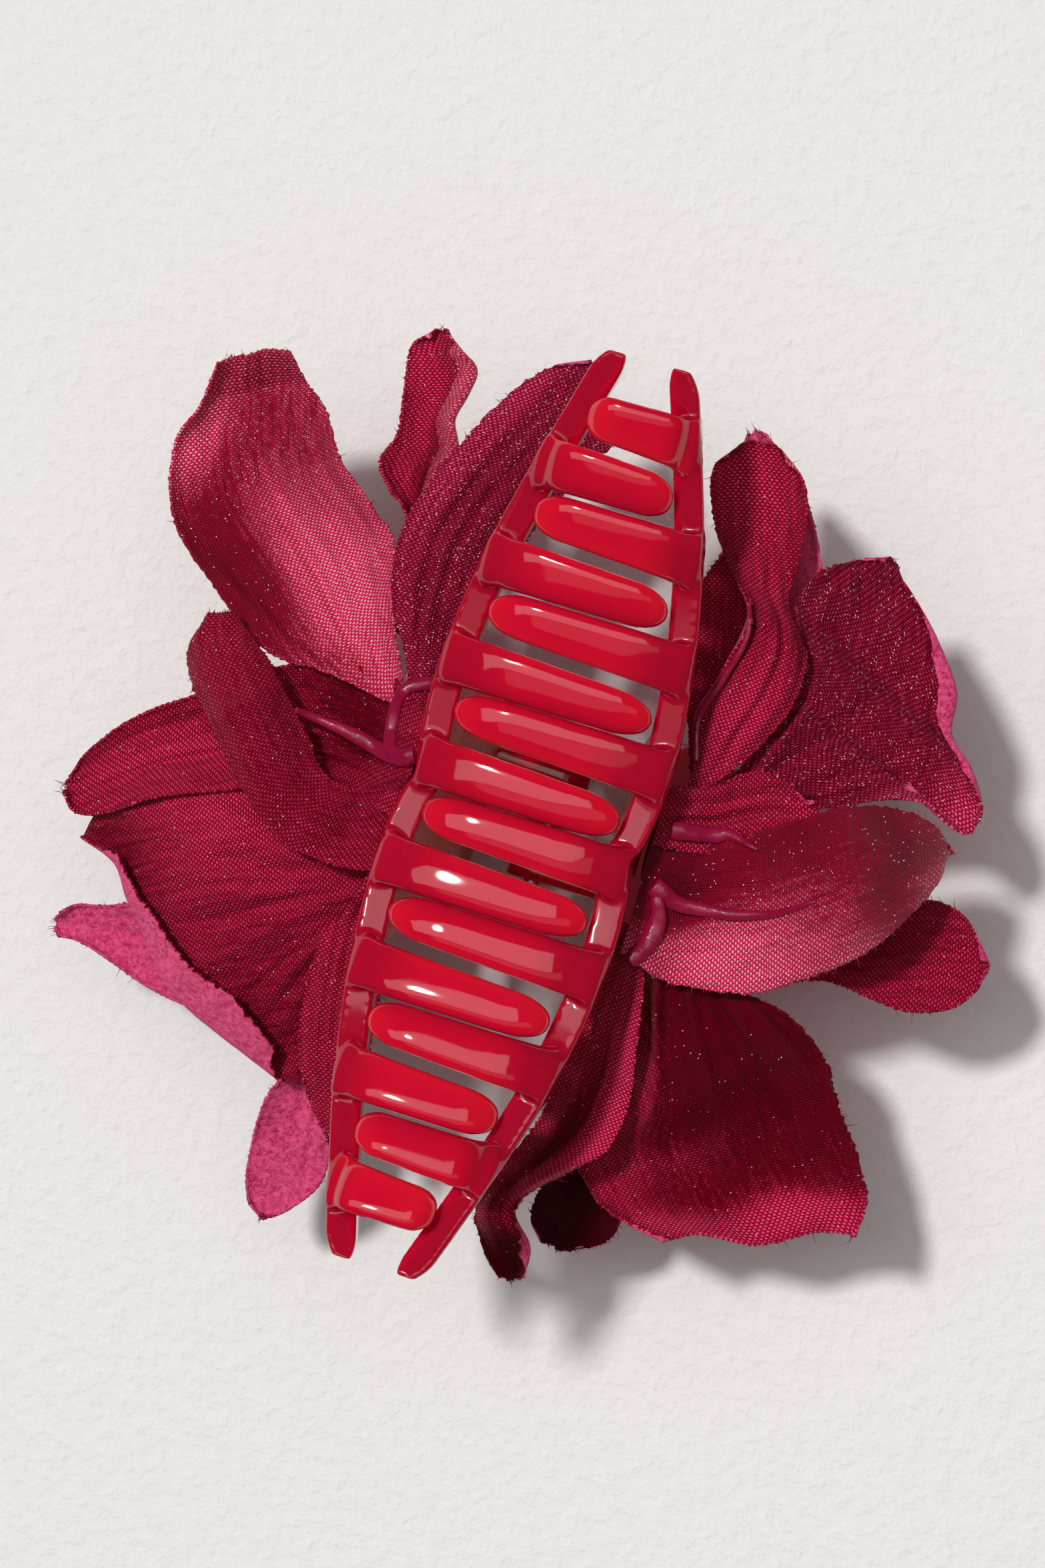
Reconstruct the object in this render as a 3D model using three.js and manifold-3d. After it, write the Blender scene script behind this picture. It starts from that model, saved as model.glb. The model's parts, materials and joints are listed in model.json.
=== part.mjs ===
// Claw hair clip with two fabric flowers. Millimetres, +Z up.
// The clip lies on the tips of its two handles with its teeth up. Y runs along the clip and the
// hinge axis, X runs across it. Shapes are drawn with the hinge axis on x = 0, z = 0, and the whole
// group is moved at the end so that the middle of its underside is the origin.
import * as THREE from 'three';
import { mergeVertices } from 'three/addons/utils/BufferGeometryUtils.js';
import Module from 'manifold-3d';

const wasm = await Module();
wasm.setup();

// Driving dimensions of the claw
const HALF_LENGTH = 52.5;      // half of the clip's length along Y
const TIP_DEPTH = 20;          // from the hinge axis down to the flat tips of the handles
const RAIL_HEIGHT = 24;        // top of the rail above the hinge axis at mid length
const RAIL_BOW = 10;           // how much higher the rail's ends are than its middle
const RAIL_WIDTH = 3.0;
const RAIL_DEPTH = 5.5;
const RAIL_LEAN = 1.2;         // the rail's side wall leans this far inward over its depth
const WALL = 2.4;              // wall thickness of jaw and handle
const RAIL_STATIONS = 34;
const OUTLINE = [[-52.5, 5.6], [-46, 7.6], [-37, 10.3], [-26, 12.9], [-14, 14.3], [-5, 14.0],
  [-1.5, 13.3], [2, 14.3], [10, 14.9], [22, 13.8], [33, 11.6], [43, 8.7], [52.5, 5.6]];

// Teeth
const TEETH_PER_JAW = 8;
const TOOTH_PITCH = 11.9;      // along one jaw; the other jaw's teeth stand half way between
const FIRST_TOOTH = 44.6;
const TOOTH_ROOT_WIDTH = 5.2;
const TOOTH_TIP_WIDTH = 4.0;
const TOOTH_THICKNESS = 2.6;
const TOOTH_ARCH = 3.6;        // rise of a tooth above its rail
const TOOTH_SLANT = 0.024;     // Y shift for each millimetre across
const TIP_CLEARANCE = 0.6;     // from a tooth's tip to the other jaw's rail

// Hinge
const PIN_RADIUS = 1.0;
const PIN_HALF_LENGTH = 11.4;
const LUG_HOLE_RADIUS = 1.3;
const LUG_RADIUS = 3.2;
const LUG_THICKNESS = 2.4;
const RIGHT_LUGS = [7.6, -7.0]; // lower Y face of each lug of the right jaw
const SPRING_RADIUS = 2.6;
const SPRING_WIRE = 0.45;
const SPRING_TURNS = 4;
const SPRING_HALF_WIDTH = 2.9;

// Flowers
const HUB = new THREE.Vector2(17, 1);   // centre of the right flower in plan
const FLOWER_HEIGHT = 11;               // of the flowers' middle layer above the hinge axis
const GLUE_FACE = 13.6;                 // X where the glue pad starts, beside the jaw wall
const GLUE_THICKNESS = 1.2;
const GLUE_RADIUS = 4;
const GLUE_CENTRE = 12;                 // height of the glue pad above the hinge axis
const DISC_THICKNESS = 1.0;
const DISC_RADIUS = 5;
const LAYER_STEP = 1.8;                 // from one layer of petals to the next
const TOP_LAYER = 3;
const RISE = 0.1;                       // slope of every layer at the flower's centre
const LEAST_DROOP = 0.004;              // curvature of the top layer, per millimetre
const DROOP_STEP = 0.0005;              // more for each layer further down
const PETAL_THICKNESS = 0.9;
const PETAL_LENGTH_STEPS = 7;
const PETAL_WIDTH_STEPS = 4;
const RIB_WIDTH = 1.3;
const TOUCH_GAP = 0.3;
const SLIVER = 0.01;

const COLOURS = {
  claw: new THREE.Color(0.72, 0.01, 0.09),
  petal: new THREE.Color(0.45, 0.03, 0.16),
  velvet: new THREE.Color(0.68, 0.04, 0.24),
  rib: new THREE.Color(0.40, 0.05, 0.20),
  glue: new THREE.Color(0.75, 0.55, 0.60),
  felt: new THREE.Color(0.30, 0.02, 0.08),
  steel: new THREE.Color(0.70, 0.70, 0.72),
  stamen: new THREE.Color(0.80, 0.62, 0.25),
};

const material = (name, roughness, metalness = 0) =>
  new THREE.MeshStandardMaterial({ color: COLOURS[name], roughness, metalness });
const clawPlastic = material('claw', 0.15);
const petalCloth = material('petal', 0.7);
const velvet = material('velvet', 0.9);
const ribPlastic = material('rib', 0.3);
const clearGlue = material('glue', 0.2);
const felt = material('felt', 0.95);
const steel = material('steel', 0.3, 1);
const stamenPlastic = material('stamen', 0.5);

// ---------------------------------------------------------------- helpers

// Joins closed loops of equal point count into one closed solid with flat end caps.
function loft(loops) {
  const count = loops[0].length;
  const points = loops.flat();
  const index = [];
  for (let i = 0; i < loops.length - 1; i += 1) {
    for (let j = 0; j < count; j += 1) {
      const a = i * count + j;
      const b = i * count + (j + 1) % count;
      index.push(a, b, a + count, b, b + count, a + count);
    }
  }
  const last = (loops.length - 1) * count;
  for (let j = 1; j < count - 1; j += 1) {
    index.push(0, j + 1, j);
    index.push(last, last + j, last + j + 1);
  }
  return indexed(points, index);
}

function indexed(points, index) {
  const geometry = new THREE.BufferGeometry();
  geometry.setFromPoints(points);
  geometry.setIndex(index);
  return geometry;
}

// A closed plate between two point grids: top[i][j] above bottom[i][j].
function plate(top, bottom) {
  const rows = top.length;
  const columns = top[0].length;
  const points = [...top.flat(), ...bottom.flat()];
  const under = rows * columns;
  const at = (i, j) => i * columns + j;
  const index = [];
  for (let i = 0; i < rows - 1; i += 1) {
    for (let j = 0; j < columns - 1; j += 1) {
      const [a, b, c, d] = [at(i, j), at(i, j + 1), at(i + 1, j + 1), at(i + 1, j)];
      index.push(a, b, c, a, c, d);
      index.push(a + under, c + under, b + under, a + under, d + under, c + under);
    }
  }
  const rim = [];
  for (let j = 0; j < columns - 1; j += 1) rim.push(at(0, j));
  for (let i = 0; i < rows - 1; i += 1) rim.push(at(i, columns - 1));
  for (let j = columns - 1; j > 0; j -= 1) rim.push(at(rows - 1, j));
  for (let i = rows - 1; i > 0; i -= 1) rim.push(at(i, 0));
  rim.forEach((a, k) => {
    const b = rim[(k + 1) % rim.length];
    index.push(a, a + under, b + under, a, b + under, b);
  });
  return indexed(points, index);
}

function toSolid(geometry) {
  const bare = geometry.clone();
  bare.deleteAttribute('normal');
  bare.deleteAttribute('uv');
  const merged = mergeVertices(bare, 1e-4);
  return new wasm.Manifold(new wasm.Mesh({
    numProp: 3,
    vertProperties: new Float32Array(merged.attributes.position.array),
    triVerts: new Uint32Array(merged.index.array),
  }));
}

// The slivers that a union leaves, thinner than 0.01 mm, are smoothed away.
function fromSolid(solid) {
  const mesh = solid.simplify(SLIVER).getMesh();
  const geometry = new THREE.BufferGeometry();
  geometry.setAttribute('position', new THREE.BufferAttribute(mesh.vertProperties, 3));
  geometry.setIndex(new THREE.BufferAttribute(mesh.triVerts, 1));
  return geometry;
}

const union = (geometries) => geometries.map(toSolid).reduce((a, b) => a.add(b));

// A rod of round section along a list of points.
function rod(points, radius, steps, sides = 6) {
  const section = new THREE.Shape();
  for (let k = 0; k < sides; k += 1) {
    const angle = (2 * Math.PI * k) / sides;
    const move = k === 0 ? 'moveTo' : 'lineTo';
    section[move](radius * Math.cos(angle), radius * Math.sin(angle));
  }
  section.closePath();
  const path = new THREE.CatmullRomCurve3(points);
  return new THREE.ExtrudeGeometry(section, { steps, extrudePath: path, curveSegments: 1 });
}

function mesh(name, geometry, look) {
  const node = new THREE.Mesh(geometry, look);
  node.name = name;
  return node;
}

// ---------------------------------------------------------------- jaw

const outlineCurve = new THREE.CatmullRomCurve3(
  OUTLINE.map(([y, x]) => new THREE.Vector3(x, y, 0)));
const outlinePoints = outlineCurve.getPoints(400);

// Half width of the right jaw's outer edge at y.
function outlineAt(y) {
  const next = outlinePoints.findIndex((p) => p.y >= y);
  const b = outlinePoints[Math.max(next, 1)];
  const a = outlinePoints[Math.max(next, 1) - 1];
  return THREE.MathUtils.lerp(a.x, b.x, (y - a.y) / (b.y - a.y));
}

const railTop = (y) => RAIL_HEIGHT + RAIL_BOW * Math.pow(Math.abs(y) / HALF_LENGTH, 1.8);

// The long curved strip that carries the teeth and ends in two prongs.
function railGeometry() {
  const edge = 0.5;
  const loops = [];
  for (let i = 0; i <= RAIL_STATIONS; i += 1) {
    const y = THREE.MathUtils.lerp(-HALF_LENGTH, HALF_LENGTH, i / RAIL_STATIONS);
    const end = Math.min(1, (HALF_LENGTH - Math.abs(y)) / 3);
    const trim = 0.7 * (1 - end);
    const x = outlineAt(y) - trim;
    const top = railTop(y) - trim;
    const low = railTop(y) - RAIL_DEPTH + trim;
    const inner = outlineAt(y) - RAIL_WIDTH + trim * 0.5;
    loops.push([
      new THREE.Vector3(x - edge, y, top),
      new THREE.Vector3(x, y, top - edge),
      new THREE.Vector3(x - RAIL_LEAN, y, low),
      new THREE.Vector3(inner - RAIL_LEAN * 0.6, y, low),
      new THREE.Vector3(inner, y, top),
    ]);
  }
  return loft(loops);
}

// Jaw wall and handle: middle line of the wall in X and Z with the half width along Y.
const WALL_LINE = [
  { z: 15, x: 12.0, half: 16 },
  { z: 9, x: 10.6, half: 13.5 },
  { z: 3, x: 9.5, half: 12 },
  { z: -2, x: 9.3, half: 12 },
  { z: -7, x: 10.3, half: 13 },
  { z: -12, x: 12.7, half: 14 },
  { z: -17, x: 15.9, half: 13 },
  { z: -21.5, x: 18.9, half: 10 },
];

function wallGeometry() {
  const columns = 6;
  const outer = [];
  const inner = [];
  const middle = (row, t) => {
    if (row > 0) {
      const { x, z, half } = WALL_LINE[row - 1];
      return new THREE.Vector3(x, t * half, z);
    }
    const y = t * 18;
    return new THREE.Vector3(outlineAt(y) - 2.4, y, railTop(y) - 3);
  };
  for (let row = 0; row <= WALL_LINE.length; row += 1) {
    const [outerRow, innerRow] = [[], []];
    for (let j = 0; j <= columns; j += 1) {
      const t = (2 * j) / columns - 1;
      const before = middle(Math.max(row - 1, 0), t);
      const after = middle(Math.min(row + 1, WALL_LINE.length), t);
      const normal = new THREE.Vector3(before.z - after.z, 0, after.x - before.x).normalize();
      const here = middle(row, t);
      outerRow.push(here.clone().addScaledVector(normal, WALL / 2));
      innerRow.push(here.clone().addScaledVector(normal, -WALL / 2));
    }
    outer.push(outerRow);
    inner.push(innerRow);
  }
  return plate(outer.reverse(), inner.reverse());
}

// One hinge lug, a flat eye around the pin that reaches out to the jaw wall.
function lugGeometry(y) {
  const shape = new THREE.Shape();
  shape.moveTo(9.6, -LUG_RADIUS);
  shape.lineTo(9.6, LUG_RADIUS);
  shape.lineTo(0, LUG_RADIUS);
  shape.absarc(0, 0, LUG_RADIUS, Math.PI / 2, (3 * Math.PI) / 2, false);
  shape.closePath();
  const hole = new THREE.Path();
  hole.absarc(0, 0, LUG_HOLE_RADIUS, 0, 2 * Math.PI, true);
  shape.holes.push(hole);
  const options = { depth: LUG_THICKNESS, bevelEnabled: false, curveSegments: 8 };
  const geometry = new THREE.ExtrudeGeometry(shape, options);
  geometry.rotateX(Math.PI / 2);
  geometry.translate(0, y + LUG_THICKNESS, 0);
  return geometry;
}

// A tooth starts on its own rail's outer edge, arches across and stops short of the other rail.
const TOOTH_SECTION = [[-1, -0.5], [-1, 0.15], [-0.68, 0.72], [0, 1], [0.68, 0.72], [1, 0.15],
  [1, -0.5], [0, -0.75]];

function toothGeometry(y) {
  const top = railTop(y);
  const root = outlineAt(y) - 0.1;
  const tip = -(outlineAt(-y) - RAIL_WIDTH - TIP_CLEARANCE);
  const path = new THREE.CatmullRomCurve3([
    new THREE.Vector3(root - 0.9, y, top - 2.6),
    new THREE.Vector3(root - 1.0, y, top - 0.2),
    new THREE.Vector3(root - 3.0, y, top + TOOTH_ARCH * 0.45),
    new THREE.Vector3(root * 0.45, y, top + TOOTH_ARCH * 0.9),
    new THREE.Vector3(tip * 0.35, y, top + TOOTH_ARCH * 0.85),
    new THREE.Vector3(tip * 0.8, y, top + TOOTH_ARCH * 0.45),
    new THREE.Vector3(tip, y, top + 0.3),
  ]);
  const stations = [0, 0.1, 0.18, 0.3, 0.45, 0.62, 0.78, 0.88, 0.95, 0.985, 1];
  const loops = stations.map((s) => {
    const centre = path.getPointAt(s);
    const along = path.getTangentAt(s);
    const normal = new THREE.Vector3(along.z, 0, -along.x);
    const round = s > 0.88 ? Math.sqrt(1 - Math.pow((s - 0.88) / 0.125, 2)) : 1;
    const width = THREE.MathUtils.lerp(TOOTH_ROOT_WIDTH, TOOTH_TIP_WIDTH, s) * round;
    const thick = TOOTH_THICKNESS * (0.45 + 0.55 * round);
    const shift = TOOTH_SLANT * (root - centre.x);
    return TOOTH_SECTION.map(([a, b]) => centre.clone()
      .addScaledVector(normal, (b * thick) / 2)
      .add(new THREE.Vector3(0, (a * width) / 2 + shift, 0)));
  });
  return loft(loops);
}

function jawGeometry() {
  const pieces = [railGeometry(), wallGeometry(), ...RIGHT_LUGS.map(lugGeometry)];
  for (let i = 0; i < TEETH_PER_JAW; i += 1) {
    pieces.push(toothGeometry(FIRST_TOOTH - i * TOOTH_PITCH));
  }
  const below = new THREE.BoxGeometry(80, 80, 20);
  below.translate(0, 0, -TIP_DEPTH - 10);
  return fromSolid(union(pieces).subtract(toSolid(below)));
}

// ---------------------------------------------------------------- hinge

function pinGeometry() {
  const head = 1.7;
  const profile = [[0, -PIN_HALF_LENGTH], [head, -PIN_HALF_LENGTH], [head, 0.9 - PIN_HALF_LENGTH],
    [PIN_RADIUS, 0.9 - PIN_HALF_LENGTH], [PIN_RADIUS, PIN_HALF_LENGTH], [0, PIN_HALF_LENGTH]];
  return new THREE.LatheGeometry(profile.map(([r, y]) => new THREE.Vector2(r, y)), 12);
}

// Torsion spring: a coil round the pin, whose two legs press the handles apart.
function springGeometry() {
  const points = [];
  const stepsPerTurn = 8;
  const start = (-60 * Math.PI) / 180;
  const sweep = 2 * Math.PI * SPRING_TURNS + (300 * Math.PI) / 180 - 2 * Math.PI;
  const steps = Math.round((stepsPerTurn * sweep) / (2 * Math.PI));
  const leg = (side, y) => [1.0, 0.55].map((reach) => new THREE.Vector3(
    side * (SPRING_RADIUS * 0.5 + reach * 6.6), y, -2.6 - reach * 5.4));
  points.push(...leg(1, -SPRING_HALF_WIDTH));
  for (let i = 0; i <= steps; i += 1) {
    const angle = start + (sweep * i) / steps;
    const y = THREE.MathUtils.lerp(-SPRING_HALF_WIDTH, SPRING_HALF_WIDTH, i / steps);
    points.push(new THREE.Vector3(
      SPRING_RADIUS * Math.cos(angle), y, SPRING_RADIUS * Math.sin(angle)));
  }
  points.push(...leg(-1, SPRING_HALF_WIDTH).reverse());
  return rod(points, SPRING_WIRE, 90);
}

// ---------------------------------------------------------------- flowers

// Height of a layer of petals at plan distance r from the flower's centre. Lower layers droop more.
function layerHeight(layer, r) {
  const droop = LEAST_DROOP + DROOP_STEP * (TOP_LAYER - layer);
  return FLOWER_HEIGHT + layer * LAYER_STEP + RISE * r - droop * r * r;
}

// Petals of the right flower: plan points of the middle line from root to tip, half width, skew of
// the widest place towards the root (below 1) or the tip (above 1), and the layer.
const RIGHT_PETALS = [
  { name: 'petal_right_twisted', line: [[17, 11], [21, 26.5], [12.5, 46]],
    half: 5.8, skew: 0.9, layer: 2 },
  { name: 'petal_right_under_twisted', line: [[19, 14], [21, 33.5], [12.5, 49]],
    half: 4.5, skew: 1.2, layer: 0 },
  { name: 'petal_right_glitter', line: [[20, 8], [29, 21.5], [34, 39]], half: 12, skew: 1.1, layer: 1 },
  { name: 'petal_right_inner', line: [[17.5, 6], [24, 9], [31, 11]], half: 4.5, skew: 1, layer: 3 },
  { name: 'petal_right_ribbed', line: [[17, -6], [31, -3], [46.5, 10]], half: 9.5, skew: 1, layer: 2 },
  { name: 'petal_right_low_outer', line: [[22, -5], [38.5, -2], [54.5, -2]],
    half: 6.5, skew: 1.4, layer: -1 },
  { name: 'petal_right_broad', line: [[18, -10], [30, -24.5], [43.5, -37]],
    half: 13, skew: 1.1, layer: 0 },
  { name: 'petal_right_wavy', line: [[16.5, -9], [18, -29.5], [9, -49]], half: 4.8, skew: 1, layer: 1 },
  { name: 'petal_right_floor', line: [[18, -16], [19.5, -33.5], [15, -47]],
    half: 5, skew: 1.3, layer: -2 },
  { name: 'petal_right_slim', line: [[16.3, 9], [16.5, 21.5], [13, 35]], half: 3, skew: 1, layer: -1 },
];

// Petals of the left flower, drawn in the same way on the clip's left side (negative X).
const LEFT_PETALS = [
  { name: 'petal_left_broad', line: [[-23, 7], [-35.5, 21.5], [-47.5, 42]],
    half: 12, skew: 1.1, layer: 2 },
  { name: 'petal_left_twisted', line: [[-21, 15], [-25, 33.5], [-27.5, 51]],
    half: 4.3, skew: 1.1, layer: 1 },
  { name: 'petal_left_long', line: [[-18, 9], [-18.5, 31], [-9.5, 52]],
    half: 7.5, skew: 1.25, layer: 3 },
  { name: 'petal_left_slender', line: [[-19, 5], [-36.5, 2], [-54, -13.5]],
    half: 7, skew: 0.9, layer: 1 },
  { name: 'petal_left_tongue', line: [[-17, -8], [-31.5, -4], [-42.5, 11]],
    half: 4.6, skew: 1.1, layer: 3 },
  { name: 'petal_left_fan', line: [[-18, -9], [-29.5, -17.5], [-40.5, -26.5]],
    half: 13, skew: 1.2, layer: 0 },
  { name: 'petal_left_low_outer', line: [[-22, -13], [-35.5, -21.5], [-51.5, -29.5]],
    half: 7, skew: 1.3, layer: -1 },
  { name: 'petal_left_low_inner', line: [[-17, -16], [-18, -35], [-18, -54]],
    half: 5.5, skew: 1.4, layer: -2 },
  { name: 'petal_left_strip', line: [[-16.5, -7], [-16.5, -25.5], [-13.5, -42]],
    half: 4, skew: 1, layer: 2 },
];

function petalGeometry({ line, half, skew, layer }) {
  const side = Math.sign(line[0][0]);
  const curve = new THREE.CatmullRomCurve3(line.map(([x, y]) => new THREE.Vector3(x, y, 0)));
  const hub = new THREE.Vector2(side * HUB.x, side * HUB.y);
  const [top, bottom] = [[], []];
  for (let i = 0; i <= PETAL_LENGTH_STEPS; i += 1) {
    const u = THREE.MathUtils.lerp(0.03, 0.985, i / PETAL_LENGTH_STEPS);
    const width = half * Math.pow(Math.sin(Math.PI * Math.pow(u, skew)), 0.75);
    const centre = curve.getPointAt(i / PETAL_LENGTH_STEPS);
    const along = curve.getTangentAt(i / PETAL_LENGTH_STEPS);
    const [topRow, bottomRow] = [[], []];
    for (let j = 0; j <= PETAL_WIDTH_STEPS; j += 1) {
      const v = (2 * j) / PETAL_WIDTH_STEPS - 1;
      const x = centre.x - along.y * width * v;
      const y = centre.y + along.x * width * v;
      const z = layerHeight(layer, Math.hypot(x - hub.x, y - hub.y));
      topRow.push(new THREE.Vector3(x, y, z + PETAL_THICKNESS / 2));
      bottomRow.push(new THREE.Vector3(x, y, z - PETAL_THICKNESS / 2));
    }
    top.push(topRow);
    bottom.push(bottomRow);
  }
  return plate(bottom, top);
}

// Moulded ribs on the backs of the petals: plan points and the layer that they lie on.
const RIBS = [
  { name: 'rib_left_cross', line: [[-16.9, 3.5], [-22, 2.6], [-30, 4]], layer: 1 },
  { name: 'rib_left_elbow', line: [[-17.2, 4.5], [-20, 8], [-17.2, 12.5]], layer: 4 },
  { name: 'rib_right_long', line: [[16.9, -3], [25, -3.6], [35, 1]], layer: 2 },
  { name: 'rib_right_down', line: [[16.9, -5.4], [17.6, -9.5], [20, -13.5]], layer: 2 },
  { name: 'rib_right_edge', line: [[16.6, 11], [17.8, 21.5], [15.8, 32]], layer: 2 },
  { name: 'rib_right_short', line: [[17, 1], [21, 2.6], [26, 3.4]], layer: 3 },
];

function ribGeometry({ line, layer }) {
  const side = Math.sign(line[0][0]);
  const lift = PETAL_THICKNESS / 2 + TOUCH_GAP + RIB_WIDTH / 2;
  const points = line.map(([x, y]) => new THREE.Vector3(
    x, y, layerHeight(layer, Math.hypot(x - side * HUB.x, y - side * HUB.y)) + lift));
  return rod(points, RIB_WIDTH / 2, 8);
}

// A round disc whose axis lies along X, from x outwards.
function discGeometry(radius, thickness, x, side) {
  const geometry = new THREE.CylinderGeometry(radius, radius, thickness, 20);
  geometry.rotateZ(Math.PI / 2);
  geometry.translate(side * (x + thickness / 2), side * HUB.y, GLUE_CENTRE);
  return geometry;
}

// The flower's centre faces down and outwards: a bud of rolled cloth with a tuft of stamens.
const BUD_AXIS = new THREE.Vector3(0.55, 0, -0.835);
const BUD_FOOT = new THREE.Vector3(20.5, 1, 2.4);

function alongBud(profile, segments, side) {
  const geometry = new THREE.LatheGeometry(profile.map(([r, h]) => new THREE.Vector2(r, h)), segments);
  const turn = new THREE.Quaternion().setFromUnitVectors(new THREE.Vector3(0, 1, 0), BUD_AXIS);
  geometry.applyQuaternion(turn);
  geometry.translate(BUD_FOOT.x, BUD_FOOT.y, BUD_FOOT.z);
  if (side < 0) geometry.rotateZ(Math.PI);
  return geometry;
}

// Radius and height of the bud's cup and of the tuft in it.
const BUD_PROFILE = [[0, 0], [3.2, 0], [5.2, 3], [4.6, 7], [3.3, 7.6], [0, 5]];
const STAMEN_PROFILE = [[0, 5.4], [2.2, 7.0], [2.4, 8.6], [1.2, 9.6], [0, 9.8]];
const budGeometry = (side) => alongBud(BUD_PROFILE, 16, side);
const stamenGeometry = (side) => alongBud(STAMEN_PROFILE, 10, side);

function flower(side, word, petals) {
  const group = new THREE.Group();
  const glue = discGeometry(GLUE_RADIUS, GLUE_THICKNESS, GLUE_FACE, side);
  group.add(mesh(`glue_pad_${word}`, glue, clearGlue));
  const discFace = GLUE_FACE + GLUE_THICKNESS + TOUCH_GAP;
  const disc = discGeometry(DISC_RADIUS, DISC_THICKNESS, discFace, side);
  group.add(mesh(`base_disc_${word}`, disc, felt));
  petals.forEach((petal) => {
    const look = petal.layer < 0 ? velvet : petalCloth;
    group.add(mesh(petal.name, petalGeometry(petal), look));
  });
  RIBS.filter(({ name }) => name.includes(word)).forEach((rib) => {
    group.add(mesh(rib.name, ribGeometry(rib), ribPlastic));
  });
  group.add(mesh(`bud_${word}`, budGeometry(side), velvet));
  group.add(mesh(`stamens_${word}`, stamenGeometry(side), stamenPlastic));
  return group;
}

// ---------------------------------------------------------------- assembly

const group = new THREE.Group();
const rightJaw = mesh('jaw_right', jawGeometry(), clawPlastic);
const leftJaw = mesh('jaw_left', rightJaw.geometry.clone(), clawPlastic);
leftJaw.rotation.z = Math.PI;
group.add(rightJaw, leftJaw);
group.add(mesh('hinge_pin', pinGeometry(), steel));
group.add(mesh('torsion_spring', springGeometry(), steel));
group.add(flower(1, 'right', RIGHT_PETALS));
group.add(flower(-1, 'left', LEFT_PETALS));

const box = new THREE.Box3().setFromObject(group, true);
const middle = box.getCenter(new THREE.Vector3());
group.position.set(-middle.x, -middle.y, TIP_DEPTH);
export default group;
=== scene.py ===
import json
import math
from math import cos, sin

import bpy
import numpy as np
from mathutils import Matrix, Vector

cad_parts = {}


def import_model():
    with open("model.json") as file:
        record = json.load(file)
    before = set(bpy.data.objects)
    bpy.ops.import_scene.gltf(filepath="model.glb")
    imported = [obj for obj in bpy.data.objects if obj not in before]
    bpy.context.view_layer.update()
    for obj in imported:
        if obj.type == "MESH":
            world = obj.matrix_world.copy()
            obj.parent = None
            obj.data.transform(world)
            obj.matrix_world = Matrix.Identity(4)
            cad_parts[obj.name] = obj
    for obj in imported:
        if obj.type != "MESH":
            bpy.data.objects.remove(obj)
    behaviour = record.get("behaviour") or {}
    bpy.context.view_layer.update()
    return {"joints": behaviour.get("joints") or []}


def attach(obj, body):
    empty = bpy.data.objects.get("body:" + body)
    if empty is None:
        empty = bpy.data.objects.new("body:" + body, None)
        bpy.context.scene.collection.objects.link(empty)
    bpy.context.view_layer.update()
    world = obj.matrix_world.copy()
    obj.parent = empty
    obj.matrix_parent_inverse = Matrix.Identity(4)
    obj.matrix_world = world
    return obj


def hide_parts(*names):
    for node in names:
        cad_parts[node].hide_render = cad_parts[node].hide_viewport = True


# Flower hair clip. Lengths are millimetres in the hinge's own frame, with the hinge axis along Y through the
# origin, until world() turns them into metres in the model's frame. Node sizes and lamps are in metres.

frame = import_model()
HINGE = np.array(frame["joints"][0]["pos_m"], float)
BODY = {"left": "left_half", "right": "right_half"}
PI = math.pi
norm = np.linalg.norm
UPRIGHT = np.array([0, 0, 1.0])
ALONG_CLIP = np.array([0, 1.0, 0])
rng = np.random.default_rng(11)


def world(points):
    return np.asarray(points, float) * 0.001 + HINGE


def unit(vector):
    return vector / max(norm(vector), 1e-6)


def ease(x):
    x = np.clip(x, 0, 1)
    return x * x * (3 - 2 * x)


def around(count):
    """Angles of one full turn."""
    return np.linspace(0, 2 * PI, count, endpoint=False)


def distances(line):
    """Distance of each point of a line from its start, along the line."""
    return np.concatenate([[0], np.cumsum(norm(np.diff(line, axis=0), axis=1))])


def heading(line, i):
    """Unit direction of a line at its point i."""
    return unit(line[min(i + 1, len(line) - 1)] - line[max(i - 1, 0)])


def spline(points, count):
    """Smooth curve through the points, sampled evenly along its length."""
    p = np.asarray(points, float)
    p = np.vstack([2 * p[0] - p[1], p, 2 * p[-1] - p[-2]])
    fine = []
    for i in range(1, len(p) - 2):
        t = np.linspace(0, 1, 24, endpoint=False)[:, None]
        a, b, c, d = p[i - 1:i + 3]
        curve = (c - a) * t + (2 * a - 5 * b + 4 * c - d) * t**2 + (3 * b - a - 3 * c + d) * t**3
        fine.append(b + 0.5 * curve)
    fine = np.vstack(fine + [p[-2:-1]])
    run = distances(fine)
    at = np.linspace(0, run[-1], count)
    return np.stack([np.interp(at, run, fine[:, k]) for k in range(fine.shape[1])], 1)


def lattice(rows, columns, wrap=False):
    """Quads of a rows by columns grid of points."""
    i, j = np.meshgrid(np.arange(rows - 1), np.arange(columns if wrap else columns - 1), indexing="ij")
    k = (j + 1) % columns
    here, onward = i * columns, (i + 1) * columns
    return np.stack([here + j, here + k, onward + k, onward + j], -1).reshape(-1, 4)


def area_of(points, faces):
    """Area of a surface of quads."""
    p, q, r, t = (points[faces[:, k]] for k in range(4))
    return 0.5 * norm(np.cross(r - p, t - q), axis=1).sum()


def show(name, data):
    """An object of the scene."""
    thing = bpy.data.objects.new(name, data)
    bpy.context.scene.collection.objects.link(thing)
    return thing


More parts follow.
